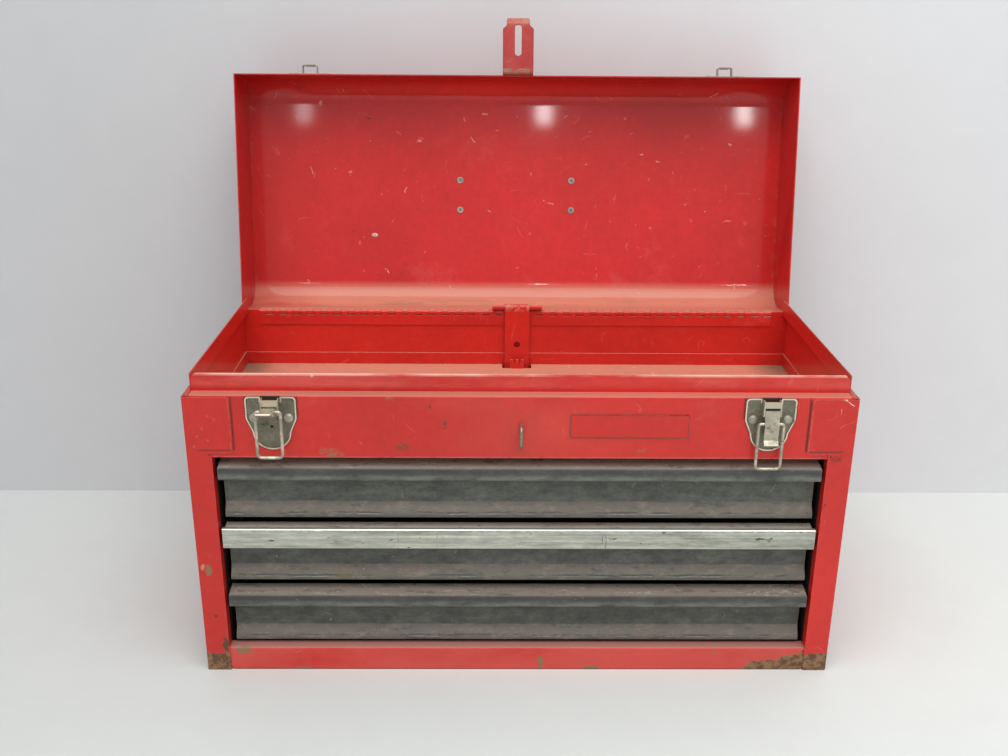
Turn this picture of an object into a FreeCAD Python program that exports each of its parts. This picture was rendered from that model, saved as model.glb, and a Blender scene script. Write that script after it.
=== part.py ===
"""A portable steel tool chest: three drawers, a till and a lift-up lid, standing open.

X runs to the right, Y to the back and Z up, in millimetres, with the origin at the centre of the base.
Every length comes from the sheet. Lid pieces are drawn as if the lid were shut, and then turned open.
"""

import FreeCAD, Part
import math
import os
import Sketcher

os.makedirs("parts", exist_ok=True)
doc = FreeCAD.newDocument("tool_chest")
Vector = FreeCAD.Vector
X_AXIS = Vector(1, 0, 0)

# Decimal places of a factor in an expression, and the sides of small round bars, heads and barrels.
DIGITS = 9
WIRE_SIDES = 8
ROD_SIDES = 12
HEAD_SIDES = 16
KNUCKLE_SIDES = 8

# The two sides of the chest, its drawers from the bottom up, and a corner with no bend radius.
HANDS = {"left": -1, "right": 1}
LEVELS = ["bottom", "middle", "top"]
SHARP = "sharp"

# Driving dimensions, in millimetres and degrees.
SIZES = {
    # steel
    "gauge": 1.0,
    "bend_radius": 0.7,
    "contact_gap": 0.3,
    "running_fit": 0.05,
    # case
    "case_width": 520.0,
    "case_depth": 218.0,
    "ledge_height": 247.0,
    "rim_height": 14.5,
    "rim_side_inset": 5.0,
    "rim_front_inset": 10.0,
    "rim_hem": 8.0,
    "rim_cut": 3.5,
    "column_width": 19.5,
    "column_return": 22.0,
    "tab_width": 37.0,
    "tab_height": 48.0,
    "tab_corner": 4.0,
    "weld_flange": 14.0,
    "till_depth": 51.5,
    "till_lip": 12.5,
    "rail_return": 12.0,
    "base_rail_height": 21.4,
    "base_rail_depth": 11.6,
    "base_rail_lip": 8.0,
    "post_leg": 28.0,
    "post_foot": 13.0,
    # lid and its hinge
    "lid_height": 58.0,
    "lid_corner": 23.0,
    "lid_angle": 100.0,
    "hinge_back": 0.4,
    "hinge_rise": 1.0,
    "hinge_barrel": 2.4,
    "hinge_pin_radius": 1.35,
    "hinge_inset": 16.0,
    "leaf_width": 12.0,
    "knuckle_pitch": 6.4,
    "knuckle_gap": 0.25,
    "panel_ear": 2.0,
    # drawers
    "drawer_base": 23.5,
    "drawer_gauge": 0.9,
    "drawer_gap": 7.1,
    "front_recess": 12.0,
    "pull_side_gap": 3.0,
    "pull_overhang": 1.75,
    "pull_depth": 11.0,
    "pull_height": 10.6,
    "front_slope": 2.9,
    "front_lip": 3.0,
    "bulge_top": 11.8,
    "bulge_low": 5.5,
    "bulge_depth": 4.5,
    "bulge_bend": 6.0,
    "bulge_round": 4.0,
    "tray_side_gap": 1.0,
    "tray_back_gap": 14.0,
    "tray_wall_drop": 5.3,
    "tray_corner": 2.5,
    "runner_height": 7.0,
    "runner_shelf": 7.5,
    "runner_back_gap": 12.0,
    "trim_overhang": 0.4,
    "trim_drop": 2.5,
    "trim_height": 17.6,
    "trim_wall": 1.2,
    "trim_top_lip": 3.7,
    "trim_bottom_lip": 5.2,
    # latches
    "latch_inset": 68.0,
    "latch_plate_width": 39.0,
    "latch_plate_height": 43.5,
    "latch_plate_drop": 0.5,
    "latch_rim": 1.9,
    "latch_waist": 29.5,
    "latch_shoulder": 18.0,
    "latch_taper": 11.0,
    "latch_notch_width": 15.0,
    "latch_notch_depth": 3.5,
    "latch_curve": 7.0,
    "latch_hole_drop": 14.8,
    "latch_hole_radius": 1.2,
    "lever_pin_drop": 10.5,
    "lever_pin_out": 4.6,
    "lever_pin_radius": 1.3,
    "lever_width": 11.0,
    "lever_gauge": 1.1,
    "lever_length": 25.0,
    "lever_bend": 3.0,
    "lever_dip": 0.8,
    "lever_toe": 4.0,
    "lever_curl": 3.2,
    "left_lever_angle": 90.0,
    "cheek_rise": 9.0,
    "cheek_drop": 4.0,
    "cheek_out": 7.0,
    "cheek_corner": 2.0,
    "bridge_height": 5.0,
    "bail_pivot_drop": 9.0,
    "bail_pivot_out": 2.2,
    "bail_length": 37.65,
    "bail_width": 19.1,
    "bail_wire": 1.25,
    "bail_bend": 3.4,
    "latch_rivet_radius": 3.7,
    "latch_rivet_offset": 13.4,
    "latch_rivet_drop": 18.0,
    "rivet_head": 1.3,
    # strikes
    "strike_width": 38.0,
    "strike_rise": 7.0,
    "strike_height": 22.0,
    "strike_corner": 3.0,
    "hook_width": 14.0,
    "hook_reach": 9.5,
    "hook_height": 7.0,
    "hook_lip": 6.5,
    "hook_bend": 2.2,
    "strike_rivet_radius": 2.6,
    # hasp and staple
    "hasp_width": 28.0,
    "hasp_drop": 0.5,
    "hasp_barrel": 2.4,
    "hasp_pin_radius": 1.2,
    "hasp_gauge": 1.2,
    "hasp_leaf_height": 26.0,
    "flap_shoulder": 41.0,
    "flap_tip": 47.4,
    "flap_tip_width": 21.0,
    "flap_tip_bend": 2.4,
    "flap_slot_width": 6.1,
    "flap_slot_start": 14.2,
    "flap_slot_end": 41.6,
    "flap_notch": 3.2,
    "flap_corner": 2.0,
    "staple_drop": 31.5,
    "staple_height": 18.6,
    "staple_reach": 11.5,
    "staple_bend": 4.0,
    "staple_wire": 1.4,
    # badge
    "badge_offset": 84.0,
    "badge_drop": 24.5,
    "badge_width": 92.5,
    "badge_tall": 19.5,
    "badge_gauge": 0.8,
    "badge_corner": 1.5,
    # handle
    "bracket_offset": 54.5,
    "bracket_width": 14.0,
    "bracket_length": 42.0,
    "bracket_gauge": 1.5,
    "bracket_rivet_pitch": 28.8,
    "rod_radius": 3.5,
    "rod_overhang": 72.0,
    "rod_inner_end": 45.0,
    "rod_reach": 40.0,
    "rod_bend": 8.5,
    "grip_radius": 9.0,
    "grip_length": 96.0,
    "grip_round": 2.2,
    "handle_angle": 10.0,
    "shank_radius": 2.0,
    "shank_flare": 3.1,
    "shank_hollow": 1.5,
    "shank_hollow_depth": 2.7,
    # drawer lock
    "strap_offset": 1.0,
    "strap_width": 23.4,
    "strap_gauge": 1.2,
    "strap_tail": 15.4,
    "strap_corner": 5.0,
    "lock_barrel": 2.8,
    "lock_pin_radius": 1.5,
    "lock_in": 5.6,
    "lock_down": 3.9,
    "lock_knuckle": 11.5,
    "strap_hole_drop": 36.5,
    "strap_hole_radius": 3.0,
    "lock_hook_reach": 12.0,
    "lock_hook_width": 12.0,
    "lock_hook_rise": 0.6,
    "lock_hook_tip": 9.0,
    "till_slot_side": 2.3,
    "till_slot_depth": 12.0,
    "guide_width": 12.5,
    "guide_height": 9.0,
    "guide_gap": 1.6,
}

sheet = doc.addObject("Spreadsheet::Sheet", "Sizes")
for row, (name, value) in enumerate(SIZES.items(), 1):
    sheet.set("A%d" % row, name)
    sheet.set("B%d" % row, str(value))
    sheet.setAlias("B%d" % row, name)
doc.recompute()


class Size:
    """A number worked out from the sheet, with the expression that gives it."""

    def __init__(self, value, text):
        self.value = value
        self.text = text

    def _join(self, sign, other, value):
        return Size(value, "(%s %s %s)" % (self.text, sign, size(other).text))

    def __add__(self, other):
        return self._join("+", other, self.value + number(other))

    def __sub__(self, other):
        return self._join("-", other, self.value - number(other))

    def __mul__(self, other):
        return self._join("*", other, self.value * number(other))

    def __truediv__(self, other):
        return self._join("/", other, self.value / number(other))

    def __radd__(self, other):
        return size(other) + self

    def __rsub__(self, other):
        return size(other) - self

    def __rmul__(self, other):
        return size(other) * self

    def __neg__(self):
        return size(-1) * self


def size(value):
    return value if isinstance(value, Size) else Size(float(value), "(%r)" % float(value))


def number(value):
    return value.value if isinstance(value, Size) else float(value)


def sized(name):
    return Size(float(sheet.get(name)), "Sizes." + name)


# Places that many pieces share.
gauge = sized("gauge")
bend = sized("bend_radius")
gap = sized("contact_gap")
half_width = sized("case_width") / 2
half_depth = sized("case_depth") / 2
ledge = sized("ledge_height")
rim_top = ledge + sized("rim_height")
rail_face = gauge - half_depth
rim_face = sized("rim_front_inset") - half_depth
wall_inside = half_width - gauge
opening_half = half_width - sized("column_width")
till_floor = ledge - sized("till_depth")
opening_top = till_floor - gauge
panel_inside = half_depth - gauge
hinge_y = half_depth + sized("hinge_back")
hinge_z = ledge + sized("hinge_rise")
hinge_barrel = sized("hinge_barrel")
barrel_clear = hinge_barrel + gap
lid_top = ledge + sized("lid_height")
lid_corner = sized("lid_corner")
skirt_low = ledge + gap
latch_offset = half_width - sized("latch_inset")
knuckle_pairs = int(number((half_width - sized("hinge_inset")) / sized("knuckle_pitch")))
hinge_half = sized("knuckle_pitch") * knuckle_pairs


# --- drawing tools -------------------------------------------------------------------------------


def new_body(label):
    body = doc.addObject("PartDesign::Body", label)
    body.Label = label
    return body


def bind(obj, prop, value):
    """Give a property its value, and the expression that keeps it to the sheet."""
    obj.setExpression(prop, size(value).text)


def origin_plane(body, role):
    return [f for f in body.Origin.OriginFeatures if f.Role == role][0]


def sketch_on(body, role, lift):
    """A sketch on one of the body's own origin planes, lifted along its normal."""
    sketch = body.newObject("Sketcher::SketchObject", body.Label + "_sketch")
    sketch.AttachmentSupport = [(origin_plane(body, role), "")]
    sketch.MapMode = "FlatFace"
    sketch.AttachmentOffset = FreeCAD.Placement(Vector(0, 0, number(lift)), FreeCAD.Rotation())
    bind(sketch, "AttachmentOffset.Base.z", lift)
    return sketch


def constrain(rules, kind, *where, value=None):
    """Note a constraint, with the size that it is bound to."""
    parts = where if value is None else where + (number(value),)
    rules.append((Sketcher.Constraint(kind, *parts), value))


def settle(sketch, rules):
    """Give a sketch all of its constraints at once, and bind their sizes."""
    indexes = sketch.addConstraint([rule for rule, value in rules])
    for index, (rule, value) in zip(indexes, rules):
        if value is not None:
            sketch.setExpression("Constraints[%d]" % index, size(value).text)


def unit(start, end):
    return (end - start).normalize()


def draw(sketch, corners, closed=True):
    """Lines through the corners, each (x, y) or (x, y, radius), with an arc at each rounded one."""
    points = [Vector(number(c[0]), number(c[1]), 0) for c in corners]
    radii = [number(c[2]) if len(c) > 2 else 0.0 for c in corners]
    count = len(corners)
    entry, leave = list(points), list(points)
    for i in range(count):
        if radii[i] > 0:
            before = unit(points[i], points[i - 1])
            after = unit(points[i], points[(i + 1) % count])
            reach = radii[i] / math.tan(before.getAngle(after) / 2)
            entry[i] = points[i] + before * reach
            leave[i] = points[i] + after * reach
    spans = count if closed else count - 1
    lines = []
    rules = []
    for i in range(spans):
        segment = Part.LineSegment(leave[i], entry[(i + 1) % count])
        lines.append(sketch.addGeometry(segment, False))
    for i, corner in enumerate(corners):
        ends = (closed or 0 < i < count - 1)
        line_in = lines[i - 1] if ends or i else None
        line_out = lines[i] if i < spans else None
        if radii[i] > 0:
            round_corner(sketch, rules, corner, (points[i], entry[i], leave[i]), radii[i], line_in, line_out)
            continue
        if ends:
            constrain(rules, "Coincident", line_in, 2, line_out, 1)
        place, end = (line_out, 1) if line_out is not None else (line_in, 2)
        constrain(rules, "DistanceX", -1, 1, place, end, value=corner[0])
        constrain(rules, "DistanceY", -1, 1, place, end, value=corner[1])
    settle(sketch, rules)


def round_corner(sketch, rules, corner, places, radius, line_in, line_out):
    """An arc tangent to two lines, with the sharp corner kept as a fixed point on both of them."""
    point, entry, leave = places
    before, after = unit(point, entry), unit(point, leave)
    half_angle = before.getAngle(after) / 2
    centre = point + (before + after).normalize() * (radius / math.sin(half_angle))
    left_turn = before.cross(after).z < 0
    first, last = (entry, leave) if left_turn else (leave, entry)
    angles = [math.atan2(p.y - centre.y, p.x - centre.x) for p in (first, last)]
    circle = Part.Circle(centre, Vector(0, 0, 1), radius)
    arc = sketch.addGeometry(Part.ArcOfCircle(circle, *angles), False)
    sharp = sketch.addGeometry(Part.Point(point), True)
    constrain(rules, "DistanceX", -1, 1, sharp, 1, value=corner[0])
    constrain(rules, "DistanceY", -1, 1, sharp, 1, value=corner[1])
    constrain(rules, "Tangent", line_in, 2, arc, 1 if left_turn else 2)
    constrain(rules, "Tangent", line_out, 1, arc, 2 if left_turn else 1)
    constrain(rules, "PointOnObject", sharp, 1, line_in)
    constrain(rules, "PointOnObject", sharp, 1, line_out)
    constrain(rules, "Radius", arc, value=corner[2])


def draw_circle(sketch, x, y, radius):
    circle = Part.Circle(Vector(number(x), number(y), 0), Vector(0, 0, 1), number(radius))
    index = sketch.addGeometry(circle, False)
    rules = []
    constrain(rules, "DistanceX", -1, 1, index, 3, value=x)
    constrain(rules, "DistanceY", -1, 1, index, 3, value=y)
    constrain(rules, "Radius", index, value=radius)
    settle(sketch, rules)


def box(x0, x1, y0, y1):
    return [(x0, y0), (x1, y0), (x1, y1), (x0, y1)]


def polygon(x, y, reach, sides):
    """A regular polygon, level at top and bottom, whose corners are as far out as reach."""
    angles = [math.pi * (2 * i + 1) / sides for i in range(sides)]
    return [(x + reach * round(math.cos(a), DIGITS), y + reach * round(math.sin(a), DIGITS)) for a in angles]


def barrel_outline(x, y, radius, sides):
    """A regular polygon whose flats touch a circle of the radius."""
    return polygon(x, y, radius / math.cos(math.pi / sides), sides)


def strip(path, thickness, side, inner=None):
    """The closed outline of a bent sheet: a path and its offset, to the left (1) or right (-1)."""
    inner = bend if inner is None else inner
    points = [Vector(number(p[0]), number(p[1]), 0) for p in path]
    near, far = [], []
    for i, corner in enumerate(path):
        steps = [unit(a, b) for a, b in zip(points[max(i - 1, 0):i + 1], points[max(i, 1):i + 2])]
        normals = [Vector(-s.y, s.x, 0) * side for s in steps]
        total = normals[0] + normals[-1]
        shift = total * (1 / (1 + normals[0].dot(normals[-1])))
        out_x, out_y = round(shift.x, DIGITS), round(shift.y, DIGITS)
        offset = (corner[0] + thickness * out_x, corner[1] + thickness * out_y)
        if len(steps) < 2:
            near.append((corner[0], corner[1]))
            far.append(offset)
            continue
        if inner is SHARP:
            near.append((corner[0], corner[1]))
            far.append(offset)
            continue
        inside = steps[0].cross(steps[1]).z * side > 0
        own = size(corner[2]) if len(corner) > 2 else (inner + thickness if inside else inner)
        other = own - thickness if inside else own + thickness
        near.append((corner[0], corner[1], own))
        far.append(offset + (other,))
    return near + far[::-1]


def add(body, role, low, length, outlines, both=False):
    """A pad on an origin plane: outlines drawn at low, and raised by length along the normal."""
    sketch = sketch_on(body, role, low)
    for outline in outlines:
        if len(outline) == 3 and not isinstance(outline[0], tuple):
            draw_circle(sketch, *outline)
        else:
            draw(sketch, outline)
    pad = body.newObject("PartDesign::Pad", body.Label + "_pad")
    pad.Profile = sketch
    pad.Length = number(length)
    bind(pad, "Length", length)
    pad.SideType = "Symmetric" if both else "One side"
    doc.recompute()
    return pad


def cut(body, role, high, length, outlines, both=False):
    """A pocket from high, down along the normal, that has to take something away."""
    before = body.Shape.Volume
    sketch = sketch_on(body, role, high)
    for outline in outlines:
        if len(outline) == 3 and not isinstance(outline[0], tuple):
            draw_circle(sketch, *outline)
        else:
            draw(sketch, outline)
    pocket = body.newObject("PartDesign::Pocket", body.Label + "_pocket")
    pocket.Profile = sketch
    pocket.Length = number(length)
    bind(pocket, "Length", length)
    pocket.SideType = "Symmetric" if both else "One side"
    doc.recompute()
    if body.Shape.Volume > before - 0.01:
        raise RuntimeError(body.Label + ": a pocket cut nothing")
    return pocket


def pad_x(body, low, length, *outlines):
    return add(body, "YZ_Plane", low, length, outlines)


def pad_y(body, front, length, *outlines):
    return add(body, "XZ_Plane", -(front + length), length, outlines)


def pad_z(body, low, length, *outlines):
    return add(body, "XY_Plane", low, length, outlines)


def pad_across(body, width, *outlines):
    """A profile in the YZ plane, as wide as given, half on each side."""
    return add(body, "YZ_Plane", size(0), width, outlines, both=True)


def cut_y(body, front, length, *outlines):
    return cut(body, "XZ_Plane", -size(front), length, outlines)


def cut_z(body, low, length, *outlines):
    return cut(body, "XY_Plane", low + length, length, outlines)


def cut_across(body, width, *outlines):
    return cut(body, "YZ_Plane", size(0), width, outlines, both=True)


def near(value, target):
    return abs(value - number(target)) < 0.02


def fillet(body, radius, along, wanted):
    """Round the straight edges of the body's tip that run along an axis and pass the test."""
    tip = body.Tip
    names = []
    for i, edge in enumerate(tip.Shape.Edges, 1):
        if len(edge.Vertexes) != 2:
            continue
        step = edge.Vertexes[1].Point - edge.Vertexes[0].Point
        if abs(getattr(step, along)) > 0.999 * edge.Length and wanted(edge.CenterOfMass):
            names.append("Edge%d" % i)
    if not names:
        raise RuntimeError(body.Label + ": no edge to round")
    rounding = body.newObject("PartDesign::Fillet", body.Label + "_fillet")
    rounding.Base = (tip, names)
    rounding.Radius = number(radius)
    bind(rounding, "Radius", radius)
    doc.recompute()
    return rounding


def repeat(body, features, axis, count, spacing, backwards=False):
    """The same features again along one of the body's own axes."""
    pattern = body.newObject("PartDesign::LinearPattern", body.Label + "_pattern")
    pattern.Originals = features
    line = [f for f in body.Origin.OriginFeatures if f.Role == axis][0]
    pattern.Direction = (line, [""])
    pattern.Mode = "Spacing"
    bind(pattern, "Offset", spacing)
    pattern.Occurrences = count
    pattern.Reversed = backwards
    body.Tip = pattern
    doc.recompute()


def wire_form(body, role, start, section_outline, path):
    """Bar along a bent path, whose first stretch leaves the plane that its section lies on."""
    spine = sketch_on(body, role, size(0))
    draw(spine, path, closed=False)
    plane, lift = start
    section = sketch_on(body, plane, lift)
    draw(section, section_outline)
    pipe = body.newObject("PartDesign::AdditivePipe", body.Label + "_pipe")
    pipe.Profile = section
    pipe.Spine = (spine, [])
    pipe.Mode = "Standard"
    doc.recompute()


def domed_heads(body, back, spots, radius):
    """Low round heads that face the front, each in two tapered steps."""
    step = sized("rivet_head") / 2
    for lift, wide, narrow in ((1, 1.0, 0.93), (2, 0.93, 0.6)):
        outlines = [polygon(x, z, radius * wide, HEAD_SIDES) for x, z in spots]
        pad = pad_y(body, back - step * lift, step, *outlines)
        slope = radius * (wide - narrow) / step
        pad.setExpression("TaperAngle", "-atan(%s)" % slope.text)
    doc.recompute()


def place(body, x=0, y=0, z=0):
    """Put a piece that is drawn about its own pivot where it belongs on the shut chest."""
    body.Placement = FreeCAD.Placement(Vector(number(x), number(y), number(z)), FreeCAD.Rotation())
    for axis, value in zip("xyz", (x, y, z)):
        bind(body, "Placement.Base." + axis, value)


def turned(angle):
    return FreeCAD.Placement(Vector(), FreeCAD.Rotation(X_AXIS, number(angle)))


def at(x, y, z):
    return FreeCAD.Placement(Vector(number(x), number(y), number(z)), FreeCAD.Rotation())


def lid_pose():
    """Turn from the shut lid to the open one, about the hinge."""
    return at(0, hinge_y, hinge_z) * turned(-sized("lid_angle")) * at(0, -hinge_y, -hinge_z)


# --- case ----------------------------------------------------------------------------------------


def case_side(label, hand):
    """One pressed side: wall, ledge and rim, with a front column, its tab and its return."""
    body = new_body(label)
    rim = half_width - sized("rim_side_inset")
    wall = half_width * hand
    path = [(wall, size(0)), (wall, ledge), (rim * hand, ledge), (rim * hand, rim_top)]
    pad_y(body, rail_face, panel_inside - rail_face, strip(path, gauge, hand))
    lost = box((rim - gauge) * hand, rim * hand, ledge, rim_top)
    cut_y(body, rail_face, rim_face - rail_face, lost)
    column = half_width - sized("column_width")
    tab = half_width - sized("tab_width")
    tab_low = ledge - sized("tab_height")
    tab_top = ledge - gauge - bend
    corner = sized("tab_corner")
    face = [
        (half_width * hand, size(0)), (column * hand, size(0)), (column * hand, tab_low),
        (tab * hand, tab_low, corner), (tab * hand, tab_top, corner), (half_width * hand, tab_top),
    ]
    pad_y(body, -half_depth, gauge, face)
    pad_y(body, rail_face, sized("column_return") - gauge,
          box(column * hand, (column + gauge) * hand, gauge, opening_top))
    flange = wall_inside - sized("weld_flange")
    pad_z(body, gauge, gauge, box(flange * hand, wall_inside * hand, rail_face, panel_inside))
    pad_y(body, panel_inside - gauge, gauge, box(flange * hand, wall_inside * hand, gauge, till_floor))
    fillet(body, gauge * 0.9, "z", lambda p: near(p.x, half_width * hand) and near(p.y, -half_depth))


def back_panel():
    """The back, cut down along the hinge so that the corners outside it stand a little higher."""
    body = new_body("back_panel")
    pad_y(body, panel_inside, gauge, box(-half_width, half_width, size(0), hinge_z - barrel_clear))
    for hand in (-1, 1):
        ear_top = hinge_z + sized("panel_ear")
        ear = box((hinge_half + gap) * hand, (wall_inside - gap) * hand, size(0), ear_top)
        pad_y(body, panel_inside, gauge, ear)


def front_top_rail():
    """The front above the drawers: a return to carry the till, the face, the ledge and the hemmed rim."""
    body = new_body("front_top_rail")
    rim_half = half_width - sized("rim_side_inset") - gauge
    path = [
        (rail_face + sized("rail_return"), opening_top), (rail_face, opening_top), (rail_face, ledge),
        (rim_face, ledge), (rim_face, rim_top),
    ]
    pad_across(body, rim_half * 2, strip(path, gauge, -1))
    hem = box(rim_face + gauge, rim_face + gauge * 2, rim_top - sized("rim_hem"), rim_top)
    pad_across(body, rim_half * 2, hem)
    fillet(body, gauge * 0.9, "x", lambda p: near(p.z, rim_top))
    rim_cut = sized("rim_cut")
    for hand in (-1, 1):
        end = rim_half * hand
        corner = [(end, rim_top - rim_cut), (end, rim_top), (end - rim_cut * hand, rim_top)]
        cut_y(body, rim_face, gauge * 2, corner)
    wing_low = opening_top + gauge + bend
    wing_high = ledge - gauge - bend
    for hand in (-1, 1):
        wing = box(rim_half * hand, wall_inside * hand, wing_low, wing_high)
        pad_y(body, rail_face, gauge, wing)


def bottom_front_rail():
    body = new_body("bottom_front_rail")
    height = sized("base_rail_height")
    rail_back = rail_face + sized("base_rail_depth")
    lip = height - sized("base_rail_lip")
    path = [(rail_face, size(0)), (rail_face, height), (rail_back, height), (rail_back, lip)]
    pad_across(body, opening_half * 2, strip(path, gauge, -1))
    fillet(body, sized("tab_corner"), "y", lambda p: near(abs(p.x), opening_half) and near(p.z, 0))


def bottom_pan():
    body = new_body("bottom_pan")
    pad_z(body, size(0), gauge, box(-wall_inside, wall_inside, rail_face + gauge, panel_inside))


def till_pan():
    """A shallow tray on the rail's return, slotted at the back for the lock strap, with a forked guide."""
    body = new_body("till_pan")
    front = rail_face + gauge + bend
    inner = wall_inside - gauge
    lip = sized("till_lip")
    pad_z(body, till_floor, lip, box(-wall_inside, wall_inside, front, panel_inside))
    cut_z(body, till_floor + gauge, lip - gauge, box(-inner, inner, front + gauge, panel_inside - gauge))
    middle = sized("strap_offset")
    slot_half = sized("strap_width") / 2 + sized("till_slot_side")
    slot_front = panel_inside - sized("till_slot_depth")
    slot = box(middle - slot_half, middle + slot_half, slot_front, panel_inside - gauge)
    cut_z(body, till_floor, gauge, slot)
    low = till_floor + gauge
    high = low + sized("guide_height")
    half = sized("guide_width") / 2
    prong = half / 3
    fork = [
        (middle - half, low), (middle + half, low), (middle + half, high), (middle + half - prong, high),
        (middle + prong, low + prong), (middle + prong / 2, high), (middle - prong / 2, high),
        (middle - prong, low + prong), (middle - half + prong, high), (middle - half, high),
    ]
    pad_y(body, slot_front - sized("guide_gap"), gauge, fork)


def rear_post(label, hand):
    """The upright at the back that the runners' rear ends are welded to."""
    body = new_body(label)
    outer = opening_half + gauge
    path = [
        (outer * hand, panel_inside - sized("post_leg")), (outer * hand, panel_inside),
        ((opening_half - sized("post_foot")) * hand, panel_inside),
    ]
    pad_z(body, gauge, opening_top, strip(path, gauge, hand, inner=SHARP))


# Heights within a drawer are counted from its underside.
drawer_pitch = (till_floor - sized("drawer_base")) / len(LEVELS)
front_top = drawer_pitch - sized("drawer_gap")
pull_high = front_top - sized("front_slope")
pull_low = pull_high - sized("pull_height")
tray_wall = pull_high - sized("tray_wall_drop")
flange_under = tray_wall - sized("drawer_gauge")
pull_half = opening_half - sized("pull_side_gap")
tray_half = opening_half - sized("runner_shelf") - sized("tray_side_gap")
front_face = -half_depth + sized("front_recess")
pull_face = front_face - sized("pull_depth")
tray_front = front_face + sized("drawer_gauge")
runner_start = front_face + sized("front_lip") / 2


def drawer_height(level):
    """The underside of a drawer, counted up from the bottom one."""
    return sized("drawer_base") + drawer_pitch * level


def runner(label, hand, level):
    """A channel that the flange of a tray slides in, welded to the column and the rear post."""
    body = new_body(label)
    low = flange_under - gap - gauge
    inner = opening_half - sized("runner_shelf")
    high = low + sized("runner_height")
    outer = opening_half * hand
    path = [(inner * hand, low), (outer, low), (outer, high), (inner * hand, high)]
    length = panel_inside - sized("runner_back_gap") - runner_start
    pad_y(body, runner_start, length, strip(path, gauge, hand, inner=SHARP))
    place(body, z=drawer_height(level))


# --- hinge ---------------------------------------------------------------------------------------


def hinge_leaf(label, up, first_notch):
    """A leaf rolled round the hinge pin, and notched so that every second knuckle is left."""
    body = new_body(label)
    pitch = sized("knuckle_pitch")
    edges = sorted([size(0), sized("leaf_width") * up], key=number)
    pad_across(body, hinge_half * 2, box(-hinge_barrel, gauge - hinge_barrel, *edges))
    pad_across(body, hinge_half * 2, barrel_outline(0, 0, hinge_barrel, KNUCKLE_SIDES))
    bore = sized("hinge_pin_radius") + sized("running_fit")
    cut_across(body, hinge_half * 2, barrel_outline(0, 0, bore, KNUCKLE_SIDES))
    start = pitch * first_notch - hinge_half - sized("knuckle_gap") / 2
    length = pitch + sized("knuckle_gap")
    ends = sorted([-barrel_clear * up, barrel_clear * up], key=number)
    notch = cut(body, "YZ_Plane", start + length, length, [box(-barrel_clear, barrel_clear, *ends)])
    repeat(body, [notch], "X_Axis", knuckle_pairs, pitch * 2)
    return body


def hinge():
    place(hinge_leaf("hinge_lower_leaf", -1, 1), y=hinge_y, z=hinge_z)
    upper = hinge_leaf("hinge_upper_leaf", 1, 0)
    upper.Placement = lid_pose() * at(0, hinge_y, hinge_z)
    pin = new_body("hinge_pin")
    pad_across(pin, hinge_half * 2, (size(0), size(0), sized("hinge_pin_radius")))
    place(pin, y=hinge_y, z=hinge_z)


# --- lid -----------------------------------------------------------------------------------------


def lid_shell():
    """Front skirt, top and back skirt in one wrapped sheet, with holes for the handle rivets."""
    body = new_body("lid_shell")
    path = [
        (-half_depth, skirt_low), (-half_depth, lid_top, lid_corner),
        (half_depth, lid_top, lid_corner), (half_depth, hinge_z + barrel_clear),
    ]
    pad_across(body, wall_inside * 2, strip(path, gauge, -1))
    cut_z(body, lid_top - gauge, gauge, *rivet_holes(rivet_spots()))
    body.Placement = lid_pose()


def lid_end(label, hand):
    body = new_body(label)
    outline = [
        (-half_depth, skirt_low), (half_depth, skirt_low),
        (half_depth, lid_top, lid_corner), (-half_depth, lid_top, lid_corner),
    ]
    low = wall_inside if hand > 0 else -half_width
    pad_x(body, low, gauge, outline)
    body.Placement = lid_pose()


def rivet_spots():
    """Where the handle's rivets go through the top of the lid."""
    along = sized("bracket_rivet_pitch") / 2
    across = sized("bracket_offset")
    return [(across * i, along * j) for i in (-1, 1) for j in (-1, 1)]


def rivet_holes(spots):
    clear = sized("shank_radius") + sized("running_fit") * 2
    return [barrel_outline(x, y, clear, HEAD_SIDES) for x, y in spots]


def handle_bracket(label, hand):
    """A strap with two feet and an arch that holds one end of the handle rod."""
    body = new_body(label)
    bore = sized("rod_radius") + sized("running_fit") * 2
    half = sized("bracket_length") / 2
    crown = lid_top + bore * 2
    arch = bore - sized("running_fit") / 2
    path = [
        (-half, lid_top), (-bore, lid_top), (-bore, crown, arch),
        (bore, crown, arch), (bore, lid_top), (half, lid_top),
    ]
    outline = strip(path, sized("bracket_gauge"), 1)
    low = sized("bracket_offset") * hand - sized("bracket_width") / 2
    pad_x(body, low, sized("bracket_width"), outline)
    own_spots = [spot for spot in rivet_spots() if number(spot[0]) * hand > 0]
    cut_z(body, lid_top, sized("bracket_gauge"), *rivet_holes(own_spots))
    body.Placement = lid_pose()


def handle_rivets():
    """Four tubular rivets: a head over each foot, a shank through the lid and a flared end inside."""
    body = new_body("handle_rivets")
    head_low = lid_top + sized("bracket_gauge")
    under = lid_top - gauge
    flare = sized("rivet_head") * 0.7

    def rounds(radius):
        return [polygon(x, y, radius, HEAD_SIDES) for x, y in rivet_spots()]

    pad_z(body, under - flare, flare, *rounds(sized("shank_flare")))
    pad_z(body, under, head_low - under, *rounds(sized("shank_radius")))
    pad_z(body, head_low, sized("rivet_head"), *rounds(sized("shank_flare") * 1.2))
    cut_z(body, under - flare, sized("shank_hollow_depth"), *rounds(sized("shank_hollow")))
    body.Placement = lid_pose()


rod_height = lid_top + sized("rod_radius") + sized("running_fit") * 2


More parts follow.
